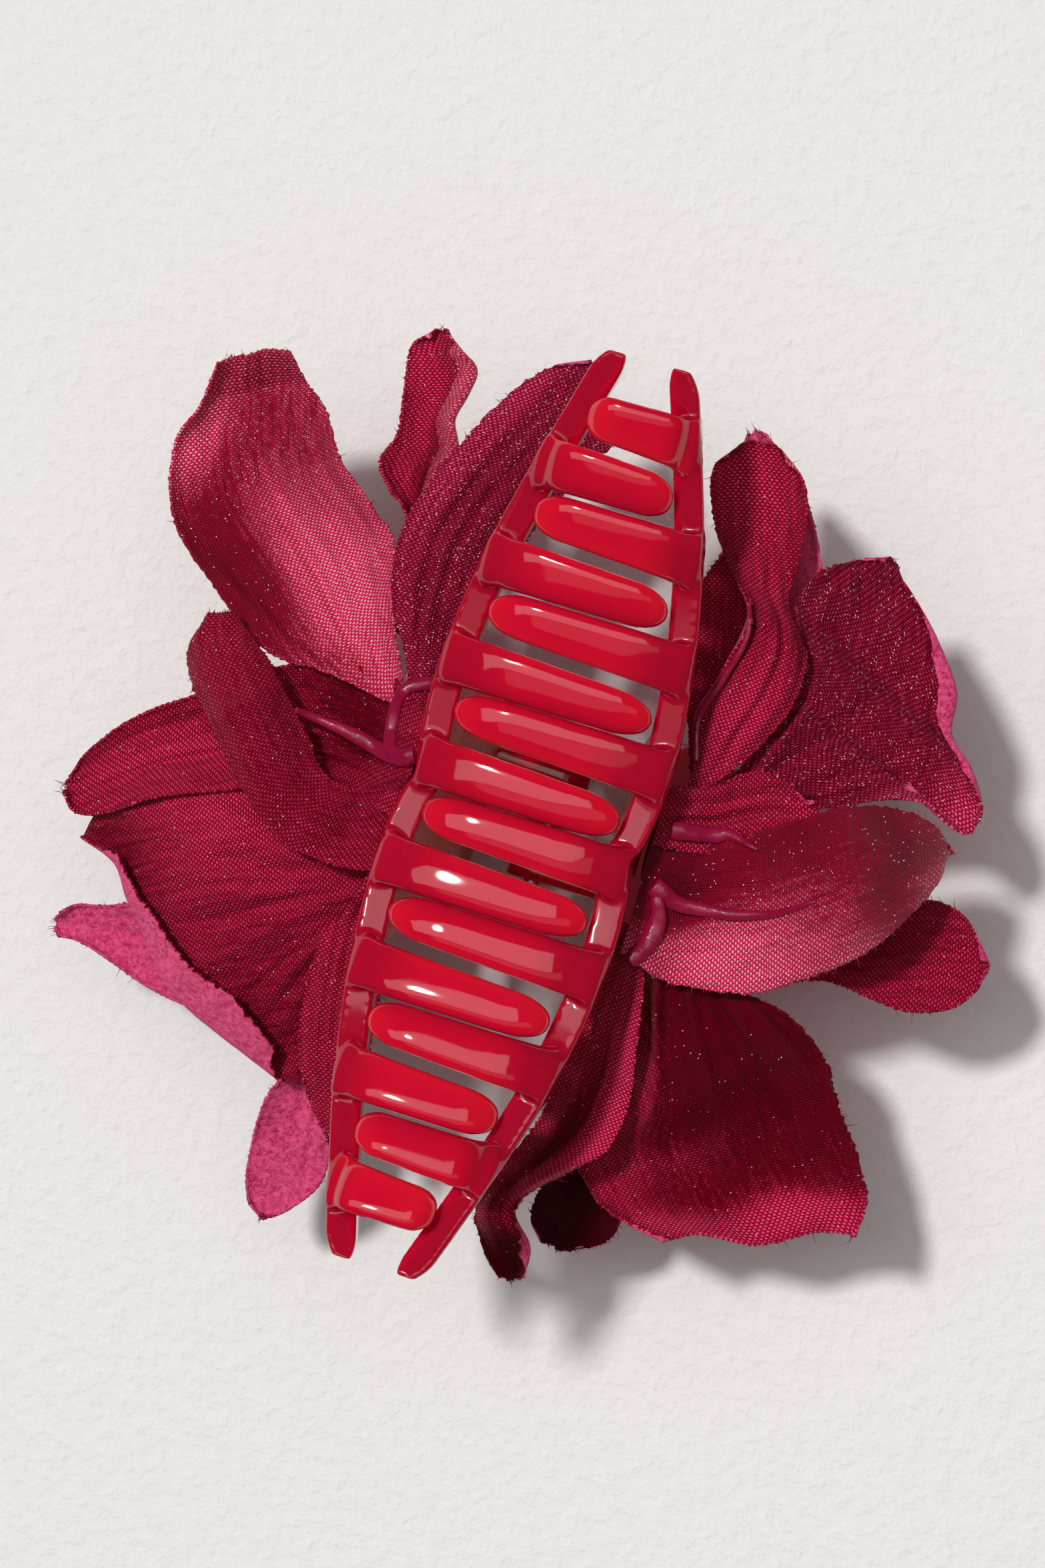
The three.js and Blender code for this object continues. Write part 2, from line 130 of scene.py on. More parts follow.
def build(name, points, faces, materials, uv=None):
    """A smooth-shaded piece."""
    mesh = bpy.data.meshes.new(name)
    mesh.from_pydata(world(points).tolist(), [], [list(map(int, f)) for f in faces])
    for m in materials:
        mesh.materials.append(m)
    if uv is not None:
        loops = np.zeros(len(mesh.loops), np.int32)
        mesh.loops.foreach_get("vertex_index", loops)
        layer = mesh.uv_layers.new(name="cloth")
        layer.data.foreach_set("uv", np.asarray(uv, np.float32)[loops].ravel())
    mesh.polygons.foreach_set("use_smooth", [True] * len(mesh.polygons))
    mesh.update()
    return show(name, mesh)


def paint(piece, name, values):
    """Stores a number for each point, which a material reads."""
    layer = piece.data.attributes.new(name, "FLOAT", "POINT")
    layer.data.foreach_set("value", np.asarray(values, np.float32))


def corners(piece):
    co = np.zeros(len(piece.data.vertices) * 3)
    piece.data.vertices.foreach_get("co", co)
    return (co.reshape(-1, 3) - HINGE) * 1000


def normals(piece):
    n = np.zeros(len(piece.data.vertices) * 3, np.float32)
    piece.data.vertices.foreach_get("normal", n)
    return n.reshape(-1, 3)


def bake(piece):
    """Applies the piece's modifiers."""
    graph = bpy.context.evaluated_depsgraph_get()
    mesh = bpy.data.meshes.new_from_object(piece.evaluated_get(graph))
    piece.modifiers.clear()
    piece.data = mesh
    return piece


def settle(piece, side, *nodes):
    """Makes a piece ride on a half and stand for its CAD nodes."""
    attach(piece, BODY[side])
    if nodes:
        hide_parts(*nodes)
    return piece


# ---------------------------------------------------------------- materials


class Look:
    """A Principled material and short helpers for its nodes."""

    def __init__(self, name, **values):
        self.material = bpy.data.materials.new(name)
        self.material.use_nodes = True
        self.tree = self.material.node_tree
        self.tree.nodes.clear()
        out = self.add("ShaderNodeOutputMaterial")
        self.shader = self.add("ShaderNodeBsdfPrincipled")
        self.link(self.shader.outputs["BSDF"], out.inputs["Surface"])
        for key, value in values.items():
            self.set(key.replace("_", " "), value)

    def add(self, kind, **settings):
        node = self.tree.nodes.new(kind)
        for key, value in settings.items():
            setattr(node, key, value)
        return node

    def link(self, a, b):
        self.tree.links.new(a, b)

    def put(self, socket, value):
        if isinstance(value, bpy.types.NodeSocket):
            self.link(value, socket)
        else:
            socket.default_value = (*value, 1) if socket.type == "RGBA" else value

    def math(self, operation, a, b=0.0, clamp=False):
        node = self.add("ShaderNodeMath", operation=operation, use_clamp=clamp)
        self.put(node.inputs[0], a)
        self.put(node.inputs[1], b)
        return node.outputs[0]

    def times(self, a, b, clamp=False):
        return self.math("MULTIPLY", a, b, clamp)

    def plus(self, a, b, clamp=False):
        return self.math("ADD", a, b, clamp)

    def mix(self, factor, a, b):
        node = self.add("ShaderNodeMix", data_type="RGBA")
        self.put(node.inputs[0], factor)
        self.put(node.inputs[6], a)
        self.put(node.inputs[7], b)
        return node.outputs[2]

    def span(self, value, low, high, to_low=0.0, to_high=1.0):
        node = self.add("ShaderNodeMapRange")
        for socket, x in zip(node.inputs, (value, low, high, to_low, to_high)):
            self.put(socket, x)
        return node.outputs[0]

    def noise(self, vector, scale, detail=3.0, roughness=0.5):
        node = self.add("ShaderNodeTexNoise")
        self.link(vector, node.inputs["Vector"])
        node.inputs["Scale"].default_value = scale
        node.inputs["Detail"].default_value = detail
        node.inputs["Roughness"].default_value = roughness
        return node.outputs["Fac"]

    def cells(self, vector, scale):
        node = self.add("ShaderNodeTexVoronoi")
        self.link(vector, node.inputs["Vector"])
        node.inputs["Scale"].default_value = scale
        return node

    def place(self):
        return self.add("ShaderNodeTexCoord").outputs["Object"]

    def value(self, attribute):
        return self.add("ShaderNodeAttribute", attribute_name=attribute).outputs["Fac"]

    def bump(self, height, distance, strength=1.0):
        node = self.add("ShaderNodeBump")
        node.inputs["Distance"].default_value = distance
        node.inputs["Strength"].default_value = strength
        self.link(height, node.inputs["Height"])
        self.link(node.outputs["Normal"], self.shader.inputs["Normal"])

    def set(self, name, value):
        self.put(self.shader.inputs[name], value)


WEAVE = 0.3  # from thread to thread


def satin(name, dark, mid, light, glitter=0.0, shine=0.12):
    """Plain-weave satin with raised threads, paler where a weft thread lies on top (the weave, and a painted
    sheen), painted shade between the threads, and glitter specks painted bright as glints on a share of the
    cloth's cells. The attribute tone paints light above zero and shade below."""
    k = Look(name, Roughness=0.5, Specular_IOR_Level=shine, Sheen_Weight=0.02, Sheen_Roughness=0.4,
             Sheen_Tint=(1.0, 0.42, 0.6))
    uv = k.add("ShaderNodeUVMap", uv_map="cloth").outputs["UV"]
    split = k.add("ShaderNodeSeparateXYZ")
    k.link(uv, split.inputs[0])
    place = k.place()
    wobble = k.times(k.noise(place, 700.0, 2.0), 0.8)
    u, v = (k.plus(k.math("DIVIDE", split.outputs[axis], WEAVE), wobble) for axis in (0, 1))

    def thread(across, along):
        """Roundness across a thread, and how far it lies above the threads it crosses."""
        phase = k.times(k.plus(along, k.math("FLOOR", across)), PI)
        return k.math("ABSOLUTE", k.math("SINE", k.times(across, PI))), k.math("SINE", phase)

    warp_profile, warp_wave = thread(u, v)
    weft_profile, weft_wave = thread(v, u)
    warp = k.times(warp_profile, k.times(k.plus(warp_wave, 1.0), 0.5))
    weft = k.times(weft_profile, k.times(k.math("SUBTRACT", 1.0, weft_wave), 0.5))
    height = k.math("MAXIMUM", warp, weft)
    # Paler where the weft lies on top: the weave's pattern, and a painted satin sheen
    pale = k.span(k.math("SUBTRACT", weft, warp), -0.1, 0.7)
    # tone: painted light above zero and painted shade below, set for each petal
    tone = k.value("tone")
    stretched = k.add("ShaderNodeCombineXYZ")
    k.link(split.outputs[0], stretched.inputs[0])
    k.link(k.times(split.outputs[1], 0.09), stretched.inputs[1])
    streak = k.noise(stretched.outputs[0], 1.9, 4.0, 0.7)
    slub = k.noise(place, 1500.0, 3.0, 0.7)
    # Streaks and slubs vary the cloth's own colour; tone adds painted light and shade to it
    body = k.mix(k.plus(k.span(streak, 0.2, 0.8), k.times(tone, 1.2), clamp=True), dark, mid)
    strength = k.plus(k.span(streak, 0.36, 0.68, 0.3, 0.8), k.span(slub, 0.4, 0.75, -0.15, 0.4))
    strength = k.plus(strength, k.times(tone, 1.3))
    body = k.mix(k.times(pale, strength, clamp=True), body, light)
    # Painted shade: tone below zero and the hollows between threads darken towards this colour
    shadow = (dark[0] * 0.3, 0.0, dark[2] * 0.3)
    body = k.mix(k.times(tone, -0.75, clamp=True), body, shadow)
    body = k.mix(k.span(height, 0.0, 0.5, 0.9, 0.0), body, shadow)
    # Glitter specks, painted bright as glints
    if glitter:
        cell = k.cells(uv, 3.0)
        chance = k.add("ShaderNodeSeparateColor")
        k.link(cell.outputs["Color"], chance.inputs[0])
        centre = k.math("LESS_THAN", cell.outputs["Distance"], 0.21)
        picked = k.math("GREATER_THAN", chance.outputs[0], 1.0 - glitter)
        body = k.mix(k.times(centre, picked), body, (1.0, 0.72, 0.7))
    k.set("Base Color", body)
    k.bump(k.plus(height, k.times(streak, 1.6)), 0.00016, 1.0)
    return k.material


def velvet(name, dark, light):
    """Short flocked pile: mottled, rough and bright at grazing angles."""
    k = Look(name, Roughness=0.85, Specular_IOR_Level=0.2, Sheen_Weight=0.5, Sheen_Roughness=0.35,
             Sheen_Tint=(1.0, 0.2, 0.42))
    place = k.place()
    clumps = k.noise(place, 1500.0, 3.0, 0.65)
    fibre = k.noise(place, 5200.0, 3.0, 0.7)
    tone = k.plus(k.times(clumps, 0.6), k.times(fibre, 0.4))
    k.set("Base Color", k.mix(k.span(tone, 0.36, 0.58), dark, light))
    k.bump(tone, 0.001, 0.9)
    return k.material


def claw_plastic():
    """Tinted see-through plastic with painted glow and painted shade by attribute, and frosted on its inside
    faces.
    """
    k = Look("claw_plastic", IOR=1.5, Subsurface_Weight=0.7, Subsurface_Scale=0.003,
             Subsurface_Radius=(1.0, 0.06, 0.05), Coat_Weight=0.15, Coat_Roughness=0.03)
    place = k.place()
    frosted = k.value("frosted")
    painted_glow = k.value("painted_glow")
    body = k.mix(k.noise(place, 60.0, 2.0), (0.62, 0.0002, 0.026), (0.76, 0.0004, 0.036))
    # Painted glow: brighter, redder where the jaw paints glow
    body = k.mix(painted_glow, body, (1.0, 0.012, 0.032))
    # Painted shade: a darker crimson where the jaw paints it
    body = k.mix(k.value("painted_shade"), body, (0.42, 0.0004, 0.024))
    grain = k.noise(place, 2600.0, 2.0)
    sand = k.mix(grain, (0.42, 0.06, 0.06), (0.80, 0.36, 0.32))
    k.set("Base Color", k.mix(frosted, body, sand))
    rough = k.span(k.noise(place, 220.0, 3.0), 0.3, 0.7, 0.05, 0.09)
    k.set("Roughness", k.plus(k.times(frosted, 0.5), rough))
    k.set("Transmission Weight", k.times(k.math("SUBTRACT", 1.0, frosted), 0.2))
    peel = k.plus(k.noise(place, 90.0, 1.0), k.times(k.times(grain, frosted), 0.5))
    k.bump(peel, 0.0004, 0.4)
    return k.material


def gloss(name, dark, light, roughness, transmission, scale=300.0):
    """Mottled glossy plastic or glue."""
    k = Look(name, Roughness=roughness, IOR=1.48, Transmission_Weight=transmission,
             Subsurface_Weight=0.3, Subsurface_Scale=0.002, Subsurface_Radius=(1.0, 0.2, 0.3))
    place = k.place()
    k.set("Base Color", k.mix(k.noise(place, scale, 3.0), dark, light))
    k.bump(k.noise(place, scale * 2.0, 2.0), 0.0003, 0.5)
    return k.material


def felt():
    k = Look("backing_felt", Roughness=0.95, Specular_IOR_Level=0.1, Sheen_Weight=0.1,
             Sheen_Tint=(1.0, 0.1, 0.2))
    place = k.place()
    fluff = k.plus(k.noise(place, 500.0, 4.0, 0.7), k.times(k.noise(place, 4000.0, 2.0), 0.4))
    k.set("Base Color", k.mix(k.span(fluff, 0.4, 0.95), (0.03, 0.0, 0.004), (0.12, 0.002, 0.015)))
    k.bump(fluff, 0.0005, 0.9)
    return k.material


def steel():
    k = Look("spring_steel", Metallic=1.0, Anisotropic=0.4)
    place = k.place()
    drawn = k.noise(place, 1500.0, 2.0)
    k.set("Base Color", k.mix(drawn, (0.50, 0.50, 0.52), (0.74, 0.73, 0.72)))
    k.set("Roughness", k.span(drawn, 0.3, 0.7, 0.22, 0.38))
    k.bump(drawn, 0.00005, 0.6)
    return k.material


CLAW = claw_plastic()
SATIN = satin("petal_satin", (0.19, 0.0004, 0.011), (0.44, 0.001, 0.032), (0.90, 0.08, 0.20), 0.03)
# Lit copy of the satin: painted light, paler throughout
SATIN_LIT = satin("petal_satin_lit", (0.36, 0.001, 0.026), (0.86, 0.004, 0.075),
                  (1.0, 0.40, 0.56), 0.1, 0.4)
# Shaded copy of the satin: painted shade, darker throughout
SATIN_SHADED = satin("petal_satin_painted_shade", (0.08, 0.0002, 0.006), (0.22, 0.0005, 0.013), (0.60, 0.024, 0.085))
SATIN_GLITTER = satin("petal_satin_glitter", (0.17, 0.0006, 0.014), (0.34, 0.0015, 0.030),
                      (0.80, 0.08, 0.20), 0.32)
VELVET = velvet("petal_velvet", (0.50, 0.003, 0.065), (1.0, 0.12, 0.32))
RIB = gloss("rib_plastic", (0.20, 0.0006, 0.022), (0.40, 0.007, 0.065), 0.2, 0.15)
# Glue painted near-black: painted shade of the flower's hub
SHADED_GLUE = gloss("clear_glue", (0.06, 0.001, 0.005), (0.16, 0.004, 0.015), 0.3, 0.0)
FELT = felt()
STEEL = steel()
STAMEN = gloss("stamen_plastic", (0.45, 0.20, 0.03), (0.80, 0.52, 0.10), 0.4, 0.0, 900.0)

# ---------------------------------------------------------------- jaws

HALF_LENGTH = 52.5
RAIL_HEIGHT = 24
RAIL_BOW = 10
RAIL_WIDTH = 3.0
RAIL_DEPTH = 5.5
TIP_DEPTH = 20
HALF_WALL = 1.2
TEETH = 8
PITCH = 11.9
FIRST_TOOTH = 44.6
TIP_CLEARANCE = 0.6
LUG_RADIUS = 3.2
LUG_HOLE = 1.3
LUG_REACH = 9.9
LUG_THICKNESS = 2.4
LUGS = (7.6, -7.0)  # lower Y face of each
VOXEL = 0.00028
OUTLINE = np.array([[-52.5, 5.6], [-46, 7.6], [-37, 10.3], [-26, 12.9], [-14, 14.3], [-5, 14.0], [-1.5, 13.3],
                    [2, 14.3], [10, 14.9], [22, 13.8], [33, 11.6], [43, 8.7], [52.5, 5.6]])
OUTLINE_FINE = spline(OUTLINE, 400)


def outline(y):
    return np.interp(y, OUTLINE_FINE[:, 0], OUTLINE_FINE[:, 1])


def rail_top(y):
    return RAIL_HEIGHT + RAIL_BOW * (np.abs(y) / HALF_LENGTH) ** 1.8


def swept(rings):
    """Points and faces of a closed surface through rings of equal point count, with flat ends."""
    rings = np.asarray(rings, float)
    rows, columns, _ = rings.shape
    points = np.vstack([rings.reshape(-1, 3), rings[0].mean(0), rings[-1].mean(0)])
    faces = [list(f) for f in lattice(rows, columns, wrap=True)]
    last_ring = (rows - 1) * columns
    for j in range(columns):
        k = (j + 1) % columns
        faces.append([rows * columns, k, j])
        faces.append([rows * columns + 1, last_ring + j, last_ring + k])
    return points, faces


def joined(shells):
    """Points and faces of several surfaces as one."""
    points, faces, start = [], [], 0
    for p, f in shells:
        points.append(p)
        faces += [[a + start for a in face] for face in f]
        start += len(p)
    return np.vstack(points), faces


def rail():
    """Bowed bar along the jaw's outline, rounded off at both ends."""
    rings = []
    for y in np.linspace(-HALF_LENGTH, HALF_LENGTH, 160):
        trim = 0.9 * (1 - min(1, (HALF_LENGTH - abs(y)) / 2.5)) ** 2
        out = outline(y) - trim
        low = rail_top(y) - RAIL_DEPTH + trim
        top = rail_top(y) - 0.5
        inner = outline(y) - RAIL_WIDTH - 0.5 + 0.6 * trim
        section = [(out - 0.3, top + 0.12), (out + 0.1, top - 0.25), (out - 0.1, top - 2.4), (out - 1.1, low),
                   (inner + 0.5, low), (inner, top - 0.3), (inner + 0.25, top)]
        rings.append([[x, y, z] for x, z in section])
    return swept(rings)


WALL_LINE = [(15, 12.0, 16), (9, 10.6, 13.5), (3, 9.5, 12), (-2, 9.3, 12), (-7, 10.3, 13), (-12, 12.7, 14),
             (-17, 15.9, 13), (-20, 17.9, 11.6)]


def wall():
    """The curved wall from under the rail, past the hinge, to the handle's tip."""
    line = spline(WALL_LINE, 60)
    rings = []
    for i, (z, x, half) in enumerate(line):
        along_x, along_z = heading(line[:, 1::-1], i)
        out_x, out_z = HALF_WALL * along_z, -HALF_WALL * along_x
        ys = np.linspace(-half, half, 24)
        rings.append([[x + out_x, y, z + out_z] for y in ys] + [[x - out_x, y, z - out_z] for y in ys[::-1]])
    top = [(outline(y) - 2.4, y, rail_top(y) - 3) for y in np.linspace(-18, 18, 24)]
    root = [[x - HALF_WALL, y, z] for x, y, z in top] + [[x + HALF_WALL, y, z] for x, y, z in top[::-1]]
    half_way = (np.array(root) + np.array(rings[0])) / 2
    rings = np.array([root, half_way.tolist()] + rings)
    rings[..., 2] = np.maximum(rings[..., 2], -TIP_DEPTH)
    return swept(rings)


def tooth(index):
    """Tapering bar that grows out of the rail's outer face and arches across to the other rail."""
    y = FIRST_TOOTH - PITCH * index
    root = outline(y) - 0.1
    tip = -(outline(-y) - RAIL_WIDTH - TIP_CLEARANCE)
    deck = rail_top(y)
    path = spline([[root - 0.8, deck - 3.4], [root - 0.8, deck - 1.6], [root - 1.3, deck - 0.7],
                   [root - 2.6, deck + 0.15], [0.5 * root, deck + 1.75], [0.35 * tip, deck + 2.1],
                   [0.8 * tip, deck + 1.35], [tip, deck + 0.4]], 110)
    run = distances(path)
    slope = rail_top(y + 0.5) - rail_top(y - 0.5)
    rings = []
    for i, (x, z) in enumerate(path):
        s = i / (len(path) - 1)
        along_x, along_z = heading(path, i)
        normal = np.array([along_z, -along_x])
        if normal[1] < 0:
            normal = -normal
        taper = math.sqrt(max(1 - max(0.0, (s - 0.82) / 0.182) ** 2.2, 0.0))
        flare = 0.8 * math.exp(-max(0.0, run[i] - 2.2) / 0.8)
        half = (3.0 - 0.6 * s + flare) * max(taper, 0.04)
        thick = 1.4 * max(taper, 0.04) ** 0.6
        shift = 0.024 * (root - x)
        square = 0.6 + 0.24 * s
        ring = []
        for q in around(44):
            w = math.copysign(abs(cos(q)) ** square, cos(q))
            h = 0.25 + 0.75 * math.copysign(abs(sin(q)) ** 0.86, sin(q))
            py = y + shift + half * w
            ring.append([min(x + normal[0] * thick * h, outline(py) + 0.06), py,
                         z + normal[1] * thick * h + slope * half * w])
        rings.append(ring)
    return swept(rings)


def lug(y):
    """Flat eye around the pin, whose straight end reaches into the wall."""
    hole, rim = [], []
    for a in around(40):
        x, z = cos(a), sin(a)
        reach = min(LUG_REACH / x, LUG_RADIUS / max(abs(z), 1e-6)) if x > 0 else LUG_RADIUS
        hole.append((LUG_HOLE * x, LUG_HOLE * z))
        rim.append((reach * x, reach * z))
    points = [[x, face, z] for face in (y, y + LUG_THICKNESS) for x, z in hole + rim]
    n = len(hole)
    faces = []
    for j in range(n):
        k = (j + 1) % n
        faces.append([j, k, n + k, n + j])
        faces.append([2 * n + j, 3 * n + j, 3 * n + k, 2 * n + k])
        faces.append([j, 2 * n + j, 2 * n + k, k])
        faces.append([n + j, n + k, 3 * n + k, 3 * n + j])
    return np.array(points), faces


def jaw(side):
    """One moulding: its parts are welded into a single skin, filleted, and given its frosted inside faces,
    painted glow and painted shade.
    """
    points, faces = joined([rail(), wall()] + [lug(y) for y in LUGS] + [tooth(i) for i in range(TEETH)])
    piece = build("claw_" + side, points, faces, [CLAW])
    weld = piece.modifiers.new("weld", "REMESH")
    weld.mode = "VOXEL"
    weld.voxel_size = VOXEL
    weld.use_smooth_shade = True
    fillet = piece.modifiers.new("fillet", "SMOOTH")
    fillet.factor = 0.5
    fillet.iterations = 4
    bake(piece)
    p, n = corners(piece), normals(piece)
    deck = rail_top(p[:, 1])
    below = ease((deck - 0.7 - p[:, 2]) / 0.8)
    paint(piece, "frosted", below * ease((-n[:, 0] - 0.35) / 0.3) * (p[:, 0] > 5))
    # Painted glow: brighter towards the teeth's tips, and on top faces turned one way along the clip
    tip = -(np.abs(outline(-p[:, 1])) - RAIL_WIDTH)
    near_tip = ease(1 - (p[:, 0] - tip) / 5.0) * (p[:, 2] > deck - 1.5) * (p[:, 0] < 0)
    far_edge = ease((-n[:, 1] - 0.1) / 0.7) * (p[:, 2] > deck) * (p[:, 0] < 9) * 0.5
    paint(piece, "painted_glow", np.clip(0.4 * near_tip + far_edge, 0, 1))
    # Painted shade: darker at the rail's outer rim, on top faces turned the other way, and towards the roots
    rim = ease((p[:, 0] - outline(p[:, 1]) + RAIL_WIDTH + 0.6) / 1.5) * ease((deck + 0.6 - p[:, 2]) / 0.8)
    near_edge = ease((n[:, 1] - 0.1) / 0.6) * (p[:, 2] > deck) * 0.5
    root_end = ease((p[:, 0] - 4.0) / 7.0) * 0.6
    paint(piece, "painted_shade", np.clip(0.8 * rim + near_edge + root_end * (1 - rim), 0, 1))
    if side == "left":
        half_turn = Matrix.Rotation(PI, 4, "Z")
        piece.data.transform(Matrix.Translation(HINGE) @ half_turn @ Matrix.Translation(-HINGE))
    return settle(piece, side, "jaw_" + side)


# ---------------------------------------------------------------- petals

SURFACES = {"left": [], "right": []}
HUBS = {"left": np.array([-17.0, -1.0]), "right": np.array([17.0, 1.0])}
LENGTH_STEPS = 130
WIDTH_STEPS = 84
FLOWER_HEIGHT = 11
LAYER_STEP = 1.8
CLOTH_THICKNESS = 0.00032
LEAST_CUT = 10.0      # least width and length of a sheet's cut
WEAVE_TURN = np.array([[0.45, -0.89], [-0.89, -0.45]])  # of the cloth of a petal with its own origin


def layer_height(layer, reach):
    """Height of a layer at a distance from its flower's hub; lower layers droop more."""
    return FLOWER_HEIGHT + LAYER_STEP * layer + 0.1 * reach - (0.004 + 0.0005 * (3 - layer)) * reach**2


def along(keys, u, column=1):
    """One column of (u, value, ...) keys at u. Keys start from zero, and a value left out is zero."""
    rows = [key + (0,) * (4 - len(key)) for key in ((0,), *keys)]
    return np.interp(u, [row[0] for row in rows], [row[column] for row in rows])


def section(width, roll_a, roll_b, columns):
    """A strip seen from its end: distances along the chord and above it, with both edges curled by
    (radius, degrees, flap). Returns also the length along the cloth."""
    curls = []
    for radius, degrees, flap in (roll_a, roll_b):
        angle = math.radians(abs(degrees))
        curls.append((max(radius, 0.05), angle, flap, math.copysign(1, degrees)))
    (ra, ta, fa, ga), (rb, tb, fb, gb) = curls
    inset_a, inset_b = ra * sin(min(ta, PI / 2)), rb * sin(min(tb, PI / 2))
    flat = max(width - inset_a - inset_b, 0.3 * width)
    s = np.linspace(0, fa + ra * ta + flat + rb * tb + fb, columns)
    x = inset_a + np.clip(s - fa - ra * ta, 0, flat)
    z = np.zeros(columns)
    for sign, d, r, t, g in ((-1, fa + ra * ta - s, ra, ta, ga), (1, s - fa - ra * ta - flat, rb, tb, gb)):
        d = np.maximum(d, 0)
        arc = np.minimum(d, r * t)
        x += sign * (r * np.sin(arc / r) + (d - arc) * cos(t))
        z += g * (r * (1 - np.cos(arc / r)) + (d - arc) * sin(t))
    return x, z, s


def petal(name, layer, a, b, face="satin", under="velvet", origin=None, cap=0.6, pleats=(0.25, 16),
          wave=(0.3, 2.5), veins=(7, 0.5), frill=(0.15, 2), arch=(), tilt=(), lift=(), roll_a=(), roll_b=(),
          tone=()):
    """One petal of a layer, between its edges a and b in plan, given from root to tip.

    Keys go from u = 0 at the root to 1 at the tip: arch raises the middle, tilt raises edge b over edge a,
    lift raises both, and roll_a and roll_b curl an edge by (u, radius, degrees, flap). pleats are
    (height, count), wave and frill (height, turns), veins (count, depth), and cap is how far the tip bulges.
    tone holds painted light and shade: soft patches (u, t, size in u, size in t, value). Folds fan out from
    origin, if it is given."""
    side = "left" if "left" in name else "right"
    hub = HUBS[side]
    rows, columns = LENGTH_STEPS, WIDTH_STEPS
    edge_a, edge_b = spline(a, rows), spline(b, rows)
    fold = (edge_a[0] + edge_b[0]) / 2
    start = fold + (hub - fold) * 0.5 if origin is None else np.array(origin)
    middle = (edge_a + edge_b) / 2
    run = distances(middle)
    phases = rng.uniform(0, 2 * PI, 6)
    amplitude, count = pleats
    grooves = rng.uniform(0.06, 0.94, veins[0])
    depths = rng.uniform(0.4, 1.0, veins[0]) * veins[1]
    ragged = rng.normal(0, 0.11, (rows, 2))
    ragged_tip = rng.normal(0, 0.1, columns)
    points, uv, shade = [], [], []
    for i in range(rows):
        u = i / (rows - 1)
        chord = edge_b[i] - edge_a[i]
        width = max(norm(chord), 0.4)
        scale = min(1.0, width / 4)
        rolls = [(along(keys, u) * scale, along(keys, u, 2), along(keys, u, 3) * scale)
                 for keys in (roll_a, roll_b)]
        x, z, s = section(width, *rolls, columns)
        t = np.clip(x / width, 0, 1)
        from_middle = 2 * t - 1
        plan = edge_a[i] + np.outer(x / width, chord)
        reach = norm(edge_a[i] + np.outer(t, chord) - hub, axis=1)
        height = layer_height(layer, reach) + z
        height += along(arch, u) * (1 - from_middle**2) + along(tilt, u) * (t - 0.5) + along(lift, u)
        ray = plan - start
        spread = norm(ray, axis=1)
        turn = np.arctan2(ray[:, 1], ray[:, 0])
        fan = np.sin(count * turn + phases[0]) + 0.6 * np.sin(2.3 * count * turn + phases[1])
        ends = (u - 0.55) / 0.45 if origin is None else (spread - 16) / 14
        height += amplitude * 1.3 * fan * ease((spread - 3) / 9) * (1 - 0.75 * ease(ends))
        for at, depth in zip(grooves, depths):
            if origin is None:
                off = (t - at) * width
                shown = ease(u * 5) * (1 - 0.85 * ease((u - 0.45) / 0.5))
            else:
                off = (np.mod(turn, 2 * PI) - np.interp(at, [0, 1], [2.7, 4.5])) * spread
                shown = ease((spread - 2) / 4) * (1 - 0.9 * ease((spread - 13) / 13))
            height -= depth * shown * (np.exp(-(off / 0.55) ** 2) - 0.35 * np.exp(-((off - 1.1) / 0.8) ** 2))
        height += wave[0] * from_middle**2 * np.sin(2 * PI * wave[1] * u + phases[2] + 2.0 * t) * ease(u * 4)
        height += 0.22 * np.sin(plan[:, 0] * 0.9 + phases[3]) * np.sin(plan[:, 1] * 0.8 + phases[4])
        sideways = unit(chord)
        onward = np.array([-sideways[1], sideways[0]])
        onward *= np.sign(np.dot(onward, middle[-1] - middle[-12]))
        bulge = cap * ease((u - 0.72) / 0.28) * np.clip(1 - from_middle**2, 0, 1) ** 0.7
        flutter = 2 * PI * frill[1] * t + phases[5]
        at_tip = frill[0] * ease((u - 0.85) / 0.15)
        height += at_tip * np.cos(flutter)
        plan += np.outer(bulge + at_tip * np.sin(flutter) + ragged_tip * (i == rows - 1), onward)
        plan[0] += sideways * ragged[i, 0]
        plan[-1] += sideways * ragged[i, 1]
        points.append(np.column_stack([plan, height]))
        # Painted light and shade from the tone patches, lighter above zero and darker below
        ripple = u + 0.025 * np.sin(9.0 * t + phases[0])
        shade.append(sum((value * np.exp(-((ripple - at_u) / size_u) ** 2 - ((t - at_t) / size_t) ** 2)
                          for at_u, at_t, size_u, size_t, value in tone), np.zeros(columns)))
        straight = np.column_stack([s - s[-1] / 2, np.full(columns, run[i])])
        uv.append(straight if origin is None else plan @ WEAVE_TURN)
    finish_petal(name, side, np.array(points), np.array(uv), np.ravel(shade), face, under)


def finish_petal(name, side, points, uv, shade, face, under):
    flat = points.reshape(-1, 3)
    SURFACES[side].append(flat)
    quads = lattice(*points.shape[:2])
    p, q, r = (flat[quads[:, k]] for k in (0, 1, 3))
    upward = np.cross(q - p, r - p)[:, 2].sum() > 0
    piece = build("cloth_" + name, flat, quads if upward else quads[:, ::-1], [CLOTHS[face], CLOTHS[under]],
                  uv.reshape(-1, 2))
    # Stores the petal's painted light and shade for the satin
    paint(piece, "tone", shade)
    cloth = piece.modifiers.new("cloth", "SOLIDIFY")
    cloth.thickness = CLOTH_THICKNESS
    cloth.offset = -1
    cloth.material_offset = 1
    cloth.use_even_offset = False
    settle(piece, side, name)
    wide = max(norm(np.diff(points, axis=1), axis=2).sum(1).max(), LEAST_CUT)
    long = max(norm(np.diff(points, axis=0), axis=2).sum(0).max(), LEAST_CUT)
    area = float(np.clip(area_of(flat, quads), 0.31 * wide * long, wide * long))
    threads = fray(name, side, points, CLOTHS[face])


